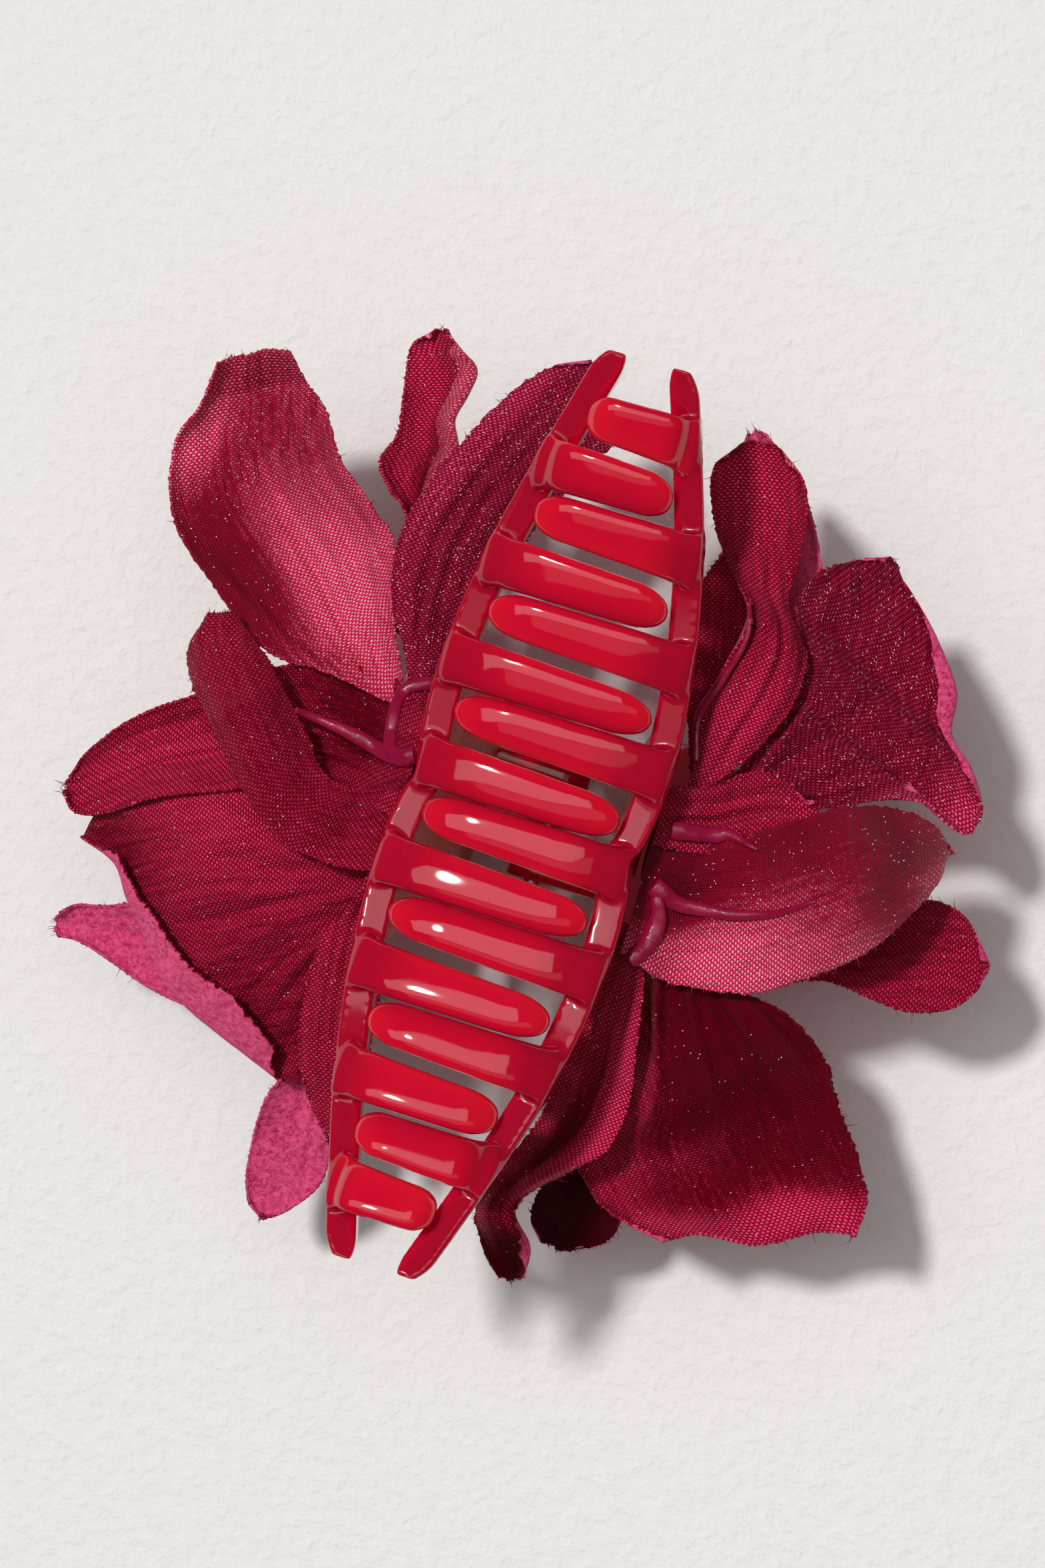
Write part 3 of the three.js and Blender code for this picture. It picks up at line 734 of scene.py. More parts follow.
def fray(name, side, points, material):
    """Loose thread ends along the petal's cut edges."""
    skip = 18
    edge = [(points[i, 0], points[i, 0] - points[i, 3]) for i in range(skip, len(points))]
    edge += [(points[-1, j], points[-1, j] - points[-4, j]) for j in range(1, points.shape[1] - 1)]
    edge += [(points[i, -1], points[i, -1] - points[i, -4]) for i in range(skip, len(points))]
    ends, faces = [], []
    for start, outward in edge:
        if rng.random() > 0.55:
            continue
        outward = unit(outward)
        way = unit(outward + rng.normal(0, 0.45, 3))
        reach = rng.uniform(0.2, 0.55) if rng.random() < 0.85 else rng.uniform(0.6, 1.5)
        bend = rng.normal(0, 0.25, 3) * reach
        across = unit(np.cross(way, UPRIGHT))
        n = len(ends)
        for step, half in ((0.0, 0.05), (0.5, 0.04), (1.0, 0.015)):
            at = start - outward * 0.1 + way * reach * step + bend * step * step
            ends += [at - across * half, at + across * half, at + UPRIGHT * half * 1.6]
        for first in (n, n + 3):
            for c in range(3):
                d = (c + 1) % 3
                faces.append([first + d, first + c, first + 3 + c, first + 3 + d])
        faces += [[n, n + 1, n + 2], [n + 6, n + 8, n + 7]]
    piece = build("fray_" + name, np.array(ends), faces, [material], np.zeros((len(ends), 2)))
    return settle(piece, side)


# Cloths by face; the lit and shaded satins are one satin with painted light and painted shade
CLOTHS = {"satin": SATIN, "lit": SATIN_LIT, "painted_shade": SATIN_SHADED, "glitter": SATIN_GLITTER, "velvet": VELVET}
FLAT = (0, 0.5, 0)
# The tone lists paint light and shade into each petal
PETALS = {
    "left_broad": dict(
        layer=2, face="lit", pleats=(0.26, 26), wave=(0.6, 2), veins=(9, 0.45),
        a=[(-19, 8), (-27.3, 9.3), (-35.6, 9.8), (-43.9, 15.2), (-50.8, 21.5), (-53.2, 29.3), (-51.8, 34.7),
           (-50.8, 40.1)],
        b=[(-19.5, 11), (-22.9, 19.1), (-24.9, 25.9), (-28.8, 29.3), (-33.7, 33.3), (-37.1, 38.1),
           (-41, 41.1), (-42.9, 43.5)], arch=((0, -0.6), (0.5, -4.6), (0.85, -3.2), (1, -0.8)),
        tilt=((0.6, 3.5), (1, 1.5)), lift=((0.5, 2), (0.92, 4), (1, 8)),
        roll_a=((0, 0.8, 0), (0.4, 1.2, 30), (0.75, 1.6, 60, 0.5), (1, 1, 80, 0.5)),
        roll_b=((0, 0.8, 0), (0.7, 1, 20), (1, 0.8, -30)),
        tone=[(0.5, 0.12, 0.24, 0.24, -0.75), (0.3, 0.62, 0.3, 0.25, 0.6), (0.82, 0.05, 0.1, 0.2, 0.6),
              (0.8, 0.6, 0.2, 0.5, -0.35)]),
    "left_twisted": dict(
        layer=1, under="lit", pleats=(0.3, 20), wave=(0.5, 3),
        a=[(-22, 16), (-24.9, 28.9), (-27.8, 31.8), (-30.2, 34.7), (-29.3, 38.6), (-30.2, 43),
           (-31.2, 46.9), (-31.2, 49.4), (-29.3, 50.9)],
        b=[(-21, 16), (-23.9, 29.3), (-22.9, 34.7), (-21.4, 38.1), (-22.9, 41.6), (-22.4, 45),
           (-22.4, 47.9), (-24.4, 49.4), (-27.3, 51.3)], arch=((0.4, -2.4), (0.75, -3.4), (1, -1)),
        tilt=((0.5, 1.5), (0.8, 4), (1, 2)), lift=((0.5, 1), (1, 3.5)),
        roll_a=(FLAT, (0.5, 0.7, 40), (1, 0.6, 30)),
        roll_b=(FLAT, (0.35, 0.8, 60), (0.55, 1.2, 165, 1.2), (0.9, 1.2, 150, 1.6), (1, 0.6, 60)),
        tone=[(0.8, 0.2, 0.3, 0.3, 0.35), (0.5, 0.7, 0.2, 0.3, -0.4)]),
    "left_long": dict(
        layer=3, face="glitter", pleats=(0.2, 16), wave=(0.4, 2),
        a=[(-17, 8), (-19.5, 13.7), (-22.4, 18.6), (-23.9, 24.4), (-23.4, 31.3), (-19.5, 42.1),
           (-15.1, 49.4), (-10.2, 52.3)],
        b=[(-14.8, 9), (-14.6, 13.7), (-12.1, 21.5), (-10.7, 29.3), (-8.2, 36.2), (-5.8, 41.1),
           (-4.3, 44.5), (-6.3, 48.4), (-9.7, 51.8)], arch=((0, 0.3), (0.5, 1.2), (1, 0.2)),
        tilt=((0.5, -3), (1, -1)), lift=((0, -0.5), (0.6, -0.5), (1, 0)),
        roll_a=((0, 0.4, 0), (0.4, 0.6, 50), (0.9, 0.5, 20)),
        tone=[(0.5, 0.5, 0.8, 0.8, -0.1), (0.8, 0.08, 0.4, 0.12, 0.5)]),
    "left_slender": dict(
        layer=1, pleats=(0.4, 16), wave=(0.4, 2.5),
        a=[(-14.8, 8), (-21, 11), (-27.8, 10.3), (-33.7, 8.3), (-38.5, 5.4), (-42.9, 2), (-48.3, -2),
           (-52.7, -7.3), (-54.2, -11.2)],
        b=[(-14.6, -4.5), (-22, -3.6), (-28.8, -4.2), (-35.1, -7), (-43.4, -10.3), (-48.8, -13.7),
           (-52.2, -14.7), (-54, -13.2)], arch=((0, 0.2), (0.5, -2.8), (1, -1)), tilt=((0.4, 2), (1, 0)),
        lift=((0, 4.6), (0.05, 4.4), (0.14, 1), (0.5, 0.5), (1, 2.2)),
        roll_a=(FLAT, (0.5, 0.6, 50), (1, 0.5, 40)), roll_b=(FLAT, (0.6, 0.6, 40), (1, 0.6, 90, 0.3)),
        tone=[(0.6, 0.5, 0.3, 0.2, 0.4), (0.2, 0.4, 0.15, 0.5, -0.5)]),
    "left_tongue": dict(
        layer=3, cap=1.3, pleats=(0.04, 9), wave=(0.3, 1.5), veins=(2, 0.15),
        a=[(-14.6, -9), (-16.6, -11.2), (-21.9, -11.7), (-26.8, -10.8), (-31.7, -7.3), (-35.1, -3.9),
           (-42.2, 3.2), (-44.2, 7.2), (-43.6, 10.2)],
        b=[(-14.6, 0.6), (-17, -0.6), (-20.9, -2.7), (-24.9, -1.5), (-27.3, 1.5), (-30.7, 4.9),
           (-34.1, 8.3), (-36.8, 10.4), (-39, 12)], arch=((0, -2), (0.3, 0.6), (0.7, 3.6), (1, 0.8)),
        tilt=((0, 1), (0.6, -2), (1, 0)), lift=((0, 1.6), (0.08, 1.2), (0.18, 0.2), (0.5, 1.6), (1, 0.2)),
        roll_a=(FLAT, (0.5, 0.6, -40), (1, 0.6, -50)), roll_b=(FLAT, (0.5, 0.6, -30), (1, 0.6, -40)),
        tone=[(0.5, 0.5, 1, 1, -0.15)]),
    "left_fan": dict(
        layer=0, origin=(-14.5, -11.5), pleats=(0.36, 17), wave=(0.4, 2), veins=(14, 0.7),
        a=[(-51.5, -17.5), (-46.4, -19.1), (-43.9, -22.5), (-40.5, -26.4), (-36.6, -30.8), (-31.2, -33.7),
           (-25.8, -35.7), (-20.5, -37.7)],
        b=[(-49.5, -11), (-39.5, -6.4), (-31.7, -5.4), (-23.9, -6.8), (-19, -8.8), (-16.5, -11.7),
           (-16.1, -15.2), (-18.5, -35.2)], arch=((0, 0.6), (0.35, 3.4), (0.7, 1.6), (1, 0)),
        tilt=((0.5, 1.5), (1, 0)), lift=((0, 1.5), (0.5, 1), (1, 0)),
        roll_a=((0, 0.5, 100, 0.2), (0.12, 0.8, 150, 0.5), (0.4, 1.1, 165, 2.2), (0.7, 1.3, 160, 5),
                (0.9, 1.2, 160, 2.8), (1, 0.5, 90)),
        tone=[(0.25, 0.8, 0.2, 0.4, 0.3), (0.1, 0.2, 0.2, 0.5, -0.3), (0.8, 0.4, 0.25, 0.5, -0.2)]),
    "left_low_outer": dict(
        layer=-1, face="velvet", under="satin", pleats=(0.2, 12),
        a=[(-24, -14), (-34.1, -21), (-42.5, -23), (-47.4, -24.9), (-50.8, -25.9), (-52.2, -27.2)],
        b=[(-23, -16), (-27.8, -30.3), (-33.7, -32.8), (-39.5, -32.3), (-45.4, -30.5), (-49.3, -29.5),
           (-52, -29.7)], arch=((0.6, -1.5), (1, -0.4)), lift=((0, -0.5), (0.6, -1), (0.85, 0), (1, 2)),
        roll_a=(FLAT, (0.8, 0.6, 40), (1, 0.6, 110, 0.3)), roll_b=(FLAT, (0.7, 0.7, 60), (1, 0.6, 80))),
    "left_low_inner": dict(
        layer=-2, face="velvet", under="satin", pleats=(0.25, 14),
        a=[(-18, -14), (-20.9, -24.9), (-21.4, -31.3), (-20.9, -37.2), (-22.1, -41.1), (-22.5, -47.9),
           (-21.4, -52.8), (-19.5, -54.3)],
        b=[(-17, -14), (-15.6, -23.5), (-14.6, -32.8), (-14.1, -40.6), (-13.4, -45.5), (-13.7, -48.9),
           (-16.1, -52.3), (-19, -54.5)], arch=((0.6, -1.6), (1, -0.4)), lift=((0.5, 1.5), (1, 4.5)),
        roll_a=(FLAT, (0.7, 0.7, 50), (1, 0.6, 60)), roll_b=(FLAT, (0.7, 0.7, 30), (1, 0.6, 60))),
    "left_strip": dict(
        layer=2, pleats=(0.15, 14),
        a=[(-16.5, -10), (-17, -15.2), (-19, -19.1), (-19.6, -23.5), (-19.2, -29.3), (-17.7, -34.7),
           (-15.9, -38.6), (-12.6, -42.5)],
        b=[(-15.2, -10), (-14.6, -15.2), (-11.8, -22), (-10.8, -28.4), (-10.2, -34.2), (-10.2, -38.1),
           (-11.7, -42.3)], arch=((0, 0.2), (0.5, 0.9), (1, 0.1)), tilt=((0.5, -1.2), (1, 0)),
        roll_a=((0, 0.4, 0), (0.5, 0.5, 50), (1, 0.4, 20))),
    "right_twisted": dict(
        layer=2, under="lit", cap=2, pleats=(0.14, 12), wave=(0.3, 2),
        a=[(15.8, 8), (16, 12.2), (15.2, 16.1), (16.2, 22), (17.2, 26.9), (17, 30.3), (14.1, 33.7),
           (11.1, 37.2), (9, 41.1), (8.2, 44.6), (9.6, 46.6)],
        b=[(17.5, 8), (21.6, 13.7), (24, 18.6), (25, 22), (25, 26.4), (23.1, 29.3), (20.9, 32.3),
           (20.4, 37.7), (19.8, 42.5), (18.2, 46), (15.6, 47.6)],
        arch=((0, 0.5), (0.3, 1.6), (0.55, 2.2), (0.8, -3.4), (1, -1.2)),
        tilt=((0.4, -1.8), (0.6, 0), (0.8, 1.5), (1, 0)), lift=((0.4, 0.8), (0.6, 2), (1, 4.5)),
        roll_a=((0, 0.6, 0), (0.25, 0.8, 70), (0.5, 0.9, 130, 0.7), (0.62, 0.7, 60), (1, 0.6, 30)),
        roll_b=(FLAT, (0.5, 0.7, -40), (0.7, 0.6, 20), (1, 0.6, 50)),
        tone=[(0.6, 0.5, 0.3, 1, -0.3), (0.28, 0.5, 0.2, 0.4, 0.4), (0.85, 0.4, 0.15, 0.4, 0.4),
              (0.62, 0.5, 0.1, 0.5, 0.3)]),
    "right_under_twisted": dict(
        layer=0, face="velvet", under="satin", pleats=(0.2, 14),
        a=[(18, 12), (19.6, 24), (17.7, 29.8), (14.3, 38.1), (11.8, 45), (10, 49.4)],
        b=[(20, 12), (24, 25.4), (23.7, 34.2), (22.1, 38.6), (19.6, 43), (16.2, 47.4), (11.7, 50.5)],
        arch=((0.6, -1.4), (1, -0.3)), tilt=((0.6, 1.5), (1, 0)), lift=((0.6, 1.2), (0.9, 3.5), (1, 4.8)),
        roll_a=(FLAT, (0.9, 0.5, 40), (1, 0.5, 90, 0.2)), roll_b=(FLAT, (0.6, 0.7, 70), (1, 0.6, 80))),
    "right_glitter": dict(
        layer=1, face="glitter", pleats=(0.09, 22), wave=(0.4, 1.5),
        a=[(17, 7), (21.1, 12.2), (22.1, 16.1), (23.3, 22.5), (22.6, 28.4), (21.6, 32.8), (23.1, 36.7),
           (26.5, 39.1), (29.9, 40.3)],
        b=[(18, 5.5), (25, 11.2), (31.4, 11.2), (36.8, 13.7), (42.1, 15.2), (45.2, 13.6), (48, 13.2),
           (48.2, 16.4), (46, 20), (42.6, 23.2), (41.8, 27.9), (38.6, 32.3), (35.2, 35.9), (31.4, 39.1)],
        arch=((0.45, -3), (0.8, -2.2), (1, 0)), tilt=((0.5, -3.6), (1, -2)), lift=((0.5, 0.5), (1, 3)),
        roll_a=((0, 0.4, 0), (0.6, 0.6, 30), (0.8, 0.8, -50), (1, 0.6, -30)),
        roll_b=(FLAT, (0.36, 0.7, 20), (0.45, 0.9, 110, 0.4), (0.52, 0.9, 30), (0.6, 1, 150, 1.2),
                (0.8, 1, 170, 1.6), (0.95, 0.7, 120, 0.4), (1, 0.5, 60)),
        tone=[(0.5, 0.5, 1, 1, -0.15), (0.47, 0.97, 0.08, 0.11, 2.2)]),
    "right_inner": dict(
        layer=3, pleats=(0.12, 12),
        a=[(14.3, 8), (19.4, 9.8), (21.6, 11.7), (24, 12.9), (27, 12.5), (29.9, 11)],
        b=[(14.3, 1), (22, 2.4), (26, 4.4), (28.9, 6.4), (30.7, 8.4), (31.1, 10)],
        arch=((0.6, -0.9), (1, -0.2)), tilt=((0.6, -1), (1, 0)),
        lift=((0, 1.2), (0.12, 1), (0.3, -0.5), (1, -0.3))),
    "right_ribbed": dict(
        layer=2, face="lit", pleats=(0.08, 14), wave=(0.5, 2), veins=(3, 0.3),
        a=[(14.2, 1), (18, 1.2), (21.6, 3.9), (27, 7.3), (30.9, 9.8), (34.8, 12), (40.2, 13.3),
           (44.1, 12.7), (45.9, 11)],
        b=[(14.6, -11.5), (19.6, -13.2), (25.5, -12.7), (30.4, -11.5), (35.3, -8.3), (39.2, -5.4),
           (42.6, -1.5), (45.3, 3.4), (46.5, 6.8), (46.4, 9.5)],
        arch=((0, -0.6), (0.35, 0.8), (0.7, 2.6), (1, 0.4)), tilt=((0.4, -3), (0.75, 0.5), (1, 0)),
        lift=((0, 3), (0.06, 2.6), (0.15, 0.6), (0.35, 1.2), (0.65, 5), (0.85, 2.8), (1, -1.5)),
        roll_a=(FLAT, (0.6, 0.6, -30), (1, 0.6, 30)), roll_b=(FLAT, (0.4, 0.7, -50), (1, 0.6, -20)),
        tone=[(0.5, 0.3, 1, 0.5, -0.45), (0.32, 0.75, 0.2, 0.3, 0.6), (0.08, 0.25, 0.14, 0.35, -0.9),
              (0.5, 0.1, 0.2, 0.15, -0.4), (0.79, 0.4, 0.08, 0.8, -0.6)]),
    "right_low_outer": dict(
        layer=-1, pleats=(0.3, 10),
        a=[(19, -3), (28.9, -5.4), (35.8, -2.9), (41.6, 1), (45.6, 4.2), (49.5, 3.9), (51.9, 2),
           (53.4, -0.5)],
        b=[(19, -5), (28.9, -9.8), (37.2, -7.8), (42.1, -8.1), (47, -8.4), (51.4, -6.8), (53.7, -3.9),
           (54, -1.5)], arch=((0.6, -1.6), (1, -0.4)), lift=((0.6, 0), (1, 2.2)),
        roll_a=(FLAT, (0.8, 0.6, 30), (1, 0.6, 50)), roll_b=(FLAT, (0.8, 0.6, 40), (1, 0.6, 50)),
        tone=[(0.6, 0.5, 0.3, 0.6, -0.1)]),
    "right_broad": dict(
        layer=0, cap=0.3, pleats=(0.4, 18), wave=(1, 2.5), frill=(0.6, 1.6),
        a=[(16.5, -9), (17.2, -15.2), (18.2, -21), (19.2, -29.3), (16.2, -35.2), (16, -37.4), (18.7, -40),
           (23.1, -41.4), (28, -41.8)],
        b=[(18, -9), (23.6, -12.2), (28.9, -11.9), (34.8, -13.2), (39.7, -16.6), (42.6, -21), (46.5, -26.4),
           (48.5, -30.6), (48.7, -34.8)], arch=((0, 0.5), (0.4, 1.6), (0.75, -2.4), (1, -0.8)),
        tilt=((0.5, 2.5), (1, 1)), lift=((0.5, -0.5), (0.8, -1.5), (0.9, -0.4), (1, 3.4)),
        roll_a=(FLAT, (0.75, 0.9, 50, 0.2), (0.9, 1.1, 120, 0.6), (1, 1, 140, 0.8)),
        roll_b=(FLAT, (0.6, 0.8, -40), (0.85, 0.8, 30), (1, 1, 110, 0.8)),
        tone=[(0.4, 0.65, 0.6, 1, -0.65), (0.95, 0.6, 0.06, 0.6, 1.2), (0.55, 0.08, 0.3, 0.16, 0.5),
              (0.7, 0.4, 0.05, 0.2, 0.3)]),
    "right_wavy": dict(
        layer=1, pleats=(0.3, 16), wave=(0.7, 3),
        a=[(13.2, -8), (13, -14), (12, -19.6), (11.2, -27.4), (9.4, -35.2), (6.6, -41.6), (6, -46),
           (8.4, -49.4), (11.2, -51.6)],
        b=[(16.6, -9), (17.8, -14.7), (18.8, -21), (19.8, -26.9), (19.2, -33.3), (15.7, -37.5),
           (12.3, -40.8), (10.4, -44), (13.4, -47.2), (13.6, -50.6)],
        arch=((0, 0.6), (0.4, -1.8), (0.7, 1.4), (0.85, 1.2), (1, -1)), tilt=((0.5, 2), (0.8, 0), (1, 0)),
        lift=((0, 2.5), (0.1, 1.5), (0.5, 0.4), (0.8, 1.5), (1, 4.5)),
        roll_a=(FLAT, (0.7, 0.7, 30), (1, 0.7, 60)),
        roll_b=(FLAT, (0.4, 0.7, -30), (0.8, 0.7, 50), (0.93, 0.9, 150, 0.6), (1, 0.7, 120)),
        tone=[(0.45, 0.85, 0.25, 0.2, 0.7), (0.6, 0.4, 0.2, 0.2, -0.6), (0.97, 0.5, 0.1, 0.8, -0.9)]),
    "right_floor": dict(
        layer=-2, face="painted_shade", pleats=(0.2, 12),
        a=[(17.5, -14), (16.2, -24.4), (14.3, -34.2), (11.8, -41.1), (11.5, -44.5), (13.3, -46.9)],
        b=[(19, -14), (21.1, -24.4), (21.6, -34.2), (21.9, -41.1), (20.9, -45), (17.2, -47.3)],
        arch=((0.6, -1.6), (1, -0.3)), lift=((0.6, 0), (1, 1.5)), tone=[(0.8, 0.5, 0.6, 1, -0.7)]),
    "right_slim": dict(
        layer=-1, pleats=(0.3, 18),
        a=[(15.5, 10), (13.8, 14.7), (11.8, 21), (10.4, 27.9), (10.4, 33.3), (11.7, 36.2)],
        b=[(16.5, 10), (19.6, 15.6), (20.6, 22.5), (19.6, 28.4), (16.7, 33.3), (12.8, 36.4)],
        arch=((0.6, -1), (1, -0.2)), tilt=((0.5, 1.5), (1, 0)), lift=((0.5, 2), (1, 4))),
}

# ---------------------------------------------------------------- ribs, glue, discs, middles


def tube(name, path, widths, heights, material, sides=14, steps=60, wobble=0.0, level=UPRIGHT):
    """Tapered bar along a path, with widths across the level direction and heights along it."""
    line = spline(path, steps)
    rings = []
    for i, p in enumerate(line):
        s = i / (steps - 1)
        forward = heading(line, i)
        across = unit(np.cross(level, forward))
        up_way = np.cross(forward, across)
        swell = 1 + wobble * sin(s * 23.0) * sin(s * 9.0)
        w = np.interp(s, np.linspace(0, 1, len(widths)), widths) / 2 * swell
        h = np.interp(s, np.linspace(0, 1, len(heights)), heights) / 2 * swell
        rings.append([p + across * w * cos(q) + up_way * h * sin(q) for q in around(sides)])
    points, faces = swept(rings)
    return build(name, points, faces, [material])


RIBS = [
    ("rib_left_cross", 3, (2.2, 1.7, 0.7), [(-14.8, 3.1), (-17.2, 2.2), (-23, 3.3), (-29.8, 4.1)]),
    ("rib_left_elbow", 3, (1.8, 1.5, 1.6), [(-14.9, 2.4), (-17.8, 3), (-18.8, 6.5), (-18.2, 10),
                                            (-14.9, 12)]),
    ("rib_right_long", 2, (2.4, 1.5, 1.0, 0.3), [(15.8, -3.2), (19, -4.3), (22.1, -4.1), (25.5, -3.6),
                                                 (29.9, -2.2), (34.3, 0.6)]),
    ("rib_right_down", 2, (1.4, 2.4, 1.8), [(16.6, -4.2), (17.4, -6.6), (17.1, -9.4), (15.8, -12.2)]),
    ("rib_right_edge", 2, (0.8, 1.1, 0.8, 0.3), [(16.2, 11.7), (15, 16.6), (16.4, 21.5), (17.8, 26.9),
                                                 (16.8, 31.3)]),
    ("rib_right_short", 3, (2.2, 1.7, 0.4), [(16, 3.5), (20.6, 4.3), (22.6, 4.9), (26, 4.2)]),
]


def on_petals(side, layer, path):
    """Lifts a plan path onto the uppermost petal under each of its points."""
    cloth = np.vstack(SURFACES[side])
    line = spline(path, 28)
    heights = []
    for x, y in line:
        below = cloth[np.hypot(cloth[:, 0] - x, cloth[:, 1] - y) < 0.6]
        base = layer_height(layer, math.hypot(x - HUBS[side][0], y - HUBS[side][1])) - 1.0
        heights.append(max(base, below[:, 2].max() + 0.1 if len(below) else base))
    heights = np.pad(heights, 3, mode="edge")
    smooth = np.convolve(heights, np.ones(7) / 7, mode="valid")
    return np.column_stack([line, np.maximum(smooth, heights[3:-3] - 0.15)])


def ribs():
    """The glossy ribs that lie glued on the petals."""
    for name, layer, widths, line in RIBS:
        side = "left" if "left" in name else "right"
        piece = tube("vein_" + name, on_petals(side, layer, line), widths, [w * 0.42 for w in widths], RIB,
                     wobble=0.06)
        settle(piece, side, name)


PAD_HEIGHT = 12     # of the discs' centres above the hinge axis
GLUE_FACE = 13.6
GLUE_THICKNESS = 1.2
GLUE_RADIUS = 4
DISC_FACE = 15.1
DISC_THICKNESS = 1.0
DISC_RADIUS = 5


def disc(side, name, node, at, radius, thickness, material, bumps):
    """Round pad standing on its edge in the YZ plane, with a softly uneven rim."""
    sign = -1 if side == "left" else 1
    profile = spline([(0.0, 0.0), (0.8, 0.0), (0.96, 0.1), (1.0, 0.35), (1.0, 0.65), (0.96, 0.9), (0.8, 1.0),
                      (0.0, 1.0)], 26)
    phases = rng.uniform(0, 2 * PI, 4)
    rings = []
    for q in around(90):
        edge = 1 + bumps * (sin(5 * q + phases[0]) + 0.6 * sin(11 * q + phases[1]))
        rings.append([[sign * (at + thickness * h), sign + radius * r * edge * cos(q),
                       PAD_HEIGHT + radius * r * edge * sin(q)] for r, h in profile])
    rings.append(rings[0])
    faces = lattice(len(rings), len(profile))
    outward = faces[:, ::-1] if side == "right" else faces
    piece = build(name + side, np.vstack(rings), outward, [material])
    piece.modifiers.new("seam", "WELD").merge_threshold = 0.000002
    bake(piece)
    return settle(piece, side, node + side)


BUD_AXIS = np.array([0.55, 0, -0.835])
BUD_FOOT = np.array([20.5, 1, 2.4])
STAMENS = 9


def bud_frame(side):
    """Foot of the bud, its axis and two directions across it."""
    mirror = np.array([-1, -1, 1]) if side == "left" else np.ones(3)
    axis = unit(BUD_AXIS) * mirror
    first = unit(np.cross(axis, ALONG_CLIP))
    return BUD_FOOT * mirror, axis, first, np.cross(axis, first)


def bud(side):
    """Strip of cloth rolled into a cone-shaped bud."""
    foot, axis, first, second = bud_frame(side)
    turns, rows, columns = 2.6, 34, 260
    points, uv = [], []
    for i in range(rows):
        v = i / (rows - 1)
        for j in range(columns):
            u = j / (columns - 1)
            q = 2 * PI * turns * u
            opening = np.interp(v, [0, 0.35, 0.75, 1], [1.6, 4.2, 4.4, 3.9])
            r = opening * (0.34 + 0.66 * u) + 0.12 * sin(5 * q + 3 * v) * u
            h = 7.0 * v + 0.5 * sin(2.2 * q) * v * u + 0.3 * (1 - u)
            points.append(foot + axis * h + first * r * cos(q) + second * r * sin(q))
            uv.append([q * 2.2, h])
    piece = build("rolled_bud_" + side, np.array(points), lattice(rows, columns), [SATIN, VELVET], uv)
    cloth = piece.modifiers.new("cloth", "SOLIDIFY")
    cloth.thickness = 0.0003
    cloth.material_offset = 1
    cloth.material_offset_rim = 1
    settle(piece, side, "bud_" + side)
    grid = np.array(points).reshape(rows, columns, 3)
    wide = norm(np.diff(grid, axis=1), axis=2).sum(1).max()
    area = min(area_of(grid.reshape(-1, 3), lattice(rows, columns)), wide * LEAST_CUT)


def stamens(side):
    """Short stems with pollen heads, inside the bud."""
    foot, axis, first, second = bud_frame(side)
    shells = []
    for k in range(STAMENS):
        q = 2 * PI * k / STAMENS + 0.4
        outward = first * cos(q) + second * sin(q)
        spread = 0.45 if k % 3 == 0 else 1.15
        top = 9.3 - 0.6 * (k % 3)
        base = foot + axis * 4.5 + outward * 0.35
        end = foot + axis * top + outward * spread * 1.35
        rings = []
        for i, p in enumerate(spline([base, (base + end) / 2 + axis * 0.3, end], 14)):
            r = 0.17 + 0.03 * sin(i)
            rings.append([p + first * r * cos(w) + second * r * sin(w) for w in around(10)])
        shells.append(swept(rings))
        rings = []
        for i, h in enumerate(np.linspace(-1, 1, 12)):
            r = 0.42 * math.sqrt(max(1 - h * h, 0.02))
            centre = end + axis * (0.62 * h + 0.3)
            rings.append([centre + (first * cos(w) + second * sin(w)) * r * (1 + 0.12 * sin(5 * w + i))
                          for w in around(14)])
        shells.append(swept(rings))
    points, faces = joined(shells)
    settle(build("pollen_" + side, points, faces, [STAMEN]), side, "stamens_" + side)


WIRE_RADIUS = 0.45
COIL_RADIUS = 2.6


def pin():
    """The hinge pin, from its round head to its plain end."""
    profile = [(-12.3, 0.9), (-12.2, 1.45), (-11.9, 1.66), (-11.6, 1.7), (-11.42, 1.62), (-11.4, 1.0),
               (0, 1.0), (11.0, 1.0), (11.3, 0.9), (11.4, 0.7)]
    points, faces = swept([[[r * sin(q), y, r * cos(q)] for q in around(40)] for y, r in profile])
    piece = build("pivot_pin", points, faces, [STEEL])
    piece.modifiers.new("edges", "EDGE_SPLIT").split_angle = math.radians(40)
    settle(piece, "left", "hinge_pin")


def wire(path, steps, name, side, *nodes):
    """A length of the spring's round wire."""
    size = (2 * WIRE_RADIUS,)
    settle(tube(name, path, size, size, STEEL, sides=16, steps=steps, level=ALONG_CLIP), side, *nodes)


def spring():
    """Wound wire with two legs that push on the handles; the right leg turns with the right handle."""
    coil = []
    for t in np.linspace(0, 1, 160):
        q = math.radians(-110 + 1430 * t)
        coil.append((COIL_RADIUS * cos(q), -3.1 + 6.0 * t, COIL_RADIUS * sin(q)))
    coil += [(-4.93, 2.9, -5.57), (-7.9, 2.9, -8.0)]
    wire(coil, 440, "wound_spring", "left", "torsion_spring")
    wire([(7.9, -2.9, -8.0), (4.93, -2.9, -5.57), (1.675, -2.9, -2.9)], 40, "spring_leg", "right")


# ---------------------------------------------------------------- assembly

for half in ("right", "left"):
    jaw(half)
for petal_name, spec in PETALS.items():
    petal("petal_" + petal_name, **spec)
ribs()
for half in ("right", "left"):
    backing = disc(half, "felt_disc_", "base_disc_", DISC_FACE, DISC_RADIUS, DISC_THICKNESS, FELT,
                   bumps=0.006)
    disc(half, "glue_blob_", "glue_pad_", GLUE_FACE, GLUE_RADIUS, GLUE_THICKNESS, SHADED_GLUE, bumps=0.02)
    bud(half)
    stamens(half)
pin()
spring()

# ---------------------------------------------------------------- floor, lights, camera

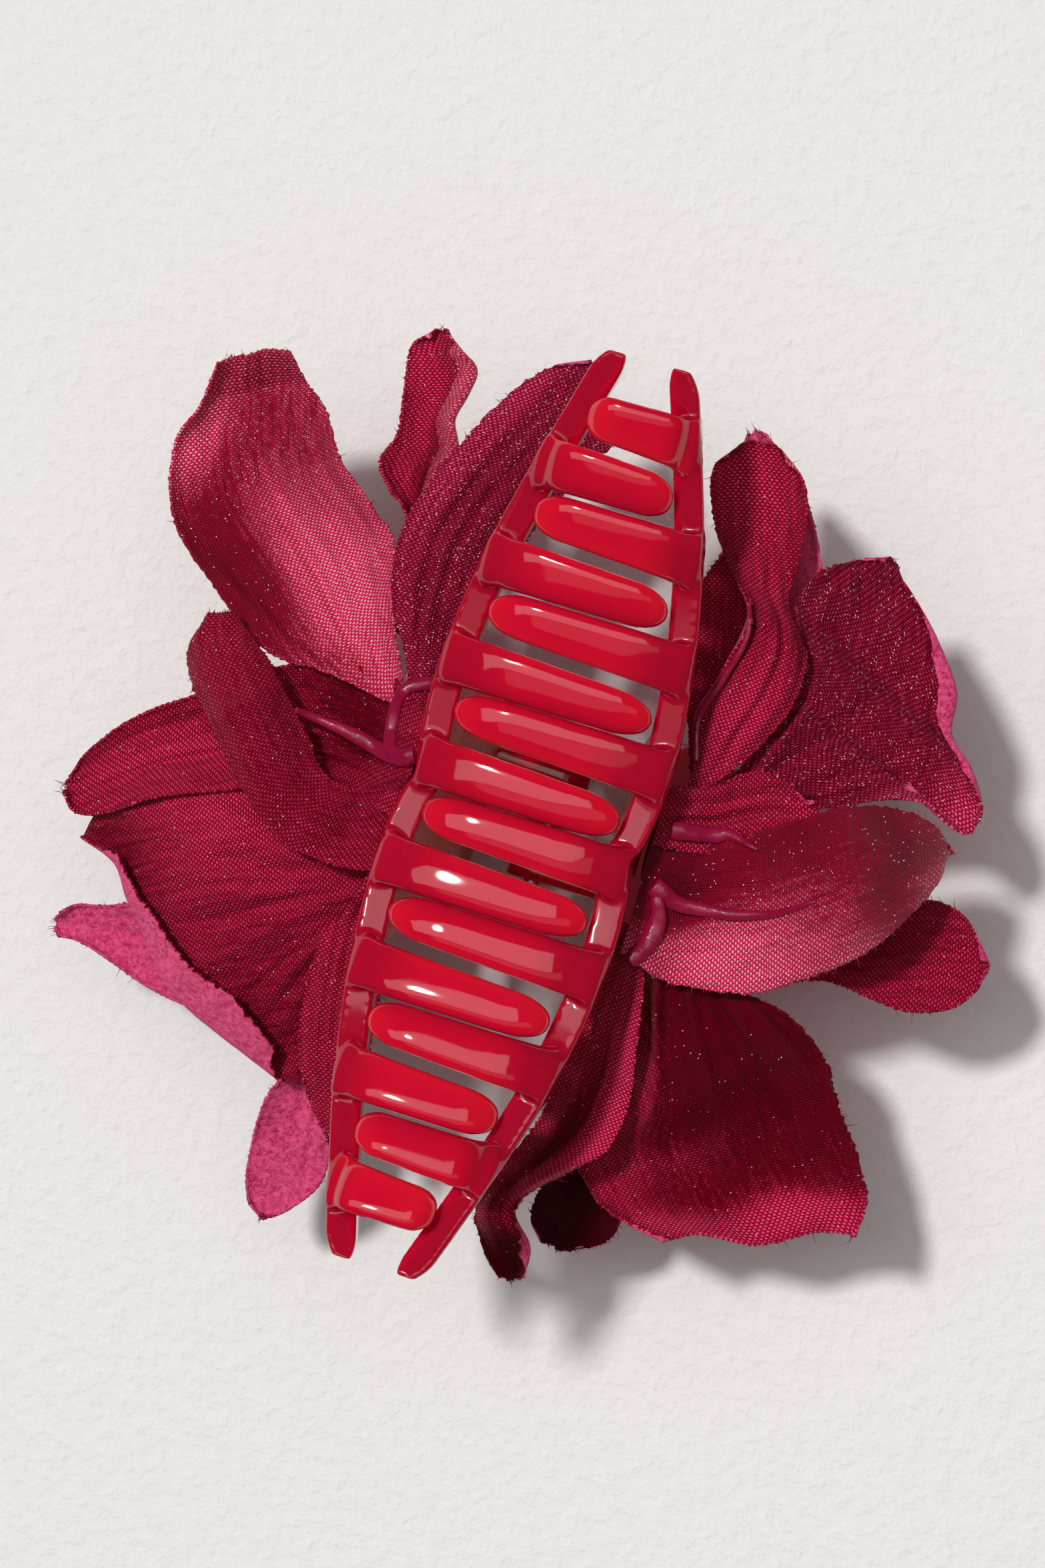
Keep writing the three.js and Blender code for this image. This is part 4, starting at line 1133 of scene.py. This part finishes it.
TILT = math.radians(8)
LEAN = math.radians(17)
axis_x = Vector((cos(TILT), 0, -sin(TILT)))
axis_y = Vector((0, 1, 0))
to_camera = Vector((sin(TILT), 0, cos(TILT)))
right = axis_x * cos(LEAN) + axis_y * sin(LEAN)
up = -axis_x * sin(LEAN) + axis_y * cos(LEAN)
CAMERA_DISTANCE = 0.5
aim = Vector(world([0, 0, 34]).tolist()) + right * 0.00136 + up * 0.00329  # the middle of the view


def standing(place, x_way, y_way, z_way):
    """Matrix of an object at a place, whose own axes point these ways."""
    return Matrix.Translation(place) @ Matrix((x_way, y_way, z_way)).transposed().to_4x4()


def plaster():
    """Pale floor with a fine, softly uneven surface."""
    k = Look("plaster_floor", Roughness=0.75)
    place = k.place()
    fine = k.noise(place, 900.0, 4.0, 0.6)
    broad = k.noise(place, 420.0, 2.0)
    k.set("Base Color", k.mix(broad, (0.80, 0.79, 0.785), (0.84, 0.832, 0.828)))
    k.bump(k.plus(fine, k.times(broad, 1.2)), 0.00045, 0.7)
    return k.material


floor_mesh = bpy.data.meshes.new("floor")
floor_mesh.from_pydata([(-1.5, -1.5, 0), (1.5, -1.5, 0), (1.5, 1.5, 0), (-1.5, 1.5, 0)], [], [(0, 1, 2, 3)])
floor_mesh.materials.append(plaster())
show("floor", floor_mesh)


def lamp(name, kind, direction, energy, distance=1.0, size=None, angle=None, colour=(1, 1, 1)):
    """A light in the given direction from the clip, with its width level with the picture's."""
    data = bpy.data.lights.new(name, kind)
    data.energy = energy
    data.color = colour
    if size:
        data.shape = "RECTANGLE"
        data.size, data.size_y = size
    if angle:
        data.angle = math.radians(angle)
    piece = show(name, data)
    back = direction.normalized()
    side_way = up.cross(back).normalized()
    piece.matrix_world = standing(aim + back * distance, side_way, back.cross(side_way), back)
    return piece


def overhead(rise, across):
    """Direction that lies rise degrees up the picture and across degrees to its right."""
    return to_camera + up * math.tan(math.radians(rise)) + right * math.tan(math.radians(across))


key_rise = math.radians(64)
key_way = (right * -0.78 + up * 0.63).normalized() * cos(key_rise) + to_camera * sin(key_rise)
key = lamp("key", "SUN", key_way, 2.1, angle=6, colour=(1.0, 0.985, 0.96))
key.visible_glossy = False
lamp("glint", "SUN", key_way, 0.022, angle=8)
lamp("softbox", "AREA", overhead(11, -15), 1.9, distance=0.9, size=(1.1, 0.34))
lamp("low_strip", "AREA", overhead(-8, 0), 0.3, distance=0.9, size=(1.0, 0.22))
tent = lamp("tent", "AREA", to_camera, 3.6, distance=1.2, size=(2.0, 2.0))
tent.visible_glossy = False
world_data = bpy.data.worlds.new("studio")
world_data.use_nodes = True
world_data.node_tree.nodes["Background"].inputs[0].default_value = (1.0, 0.99, 0.98, 1)
world_data.node_tree.nodes["Background"].inputs[1].default_value = 0.07
bpy.context.scene.world = world_data
bpy.context.scene.view_settings.view_transform = "Standard"

camera_data = bpy.data.cameras.new("camera")
camera_data.sensor_fit = "AUTO"
camera_data.sensor_width = 36
camera_data.lens = 103.8
camera = show("camera", camera_data)
camera.matrix_world = standing(aim + to_camera * CAMERA_DISTANCE, right, up, to_camera)
bpy.context.scene.camera = camera
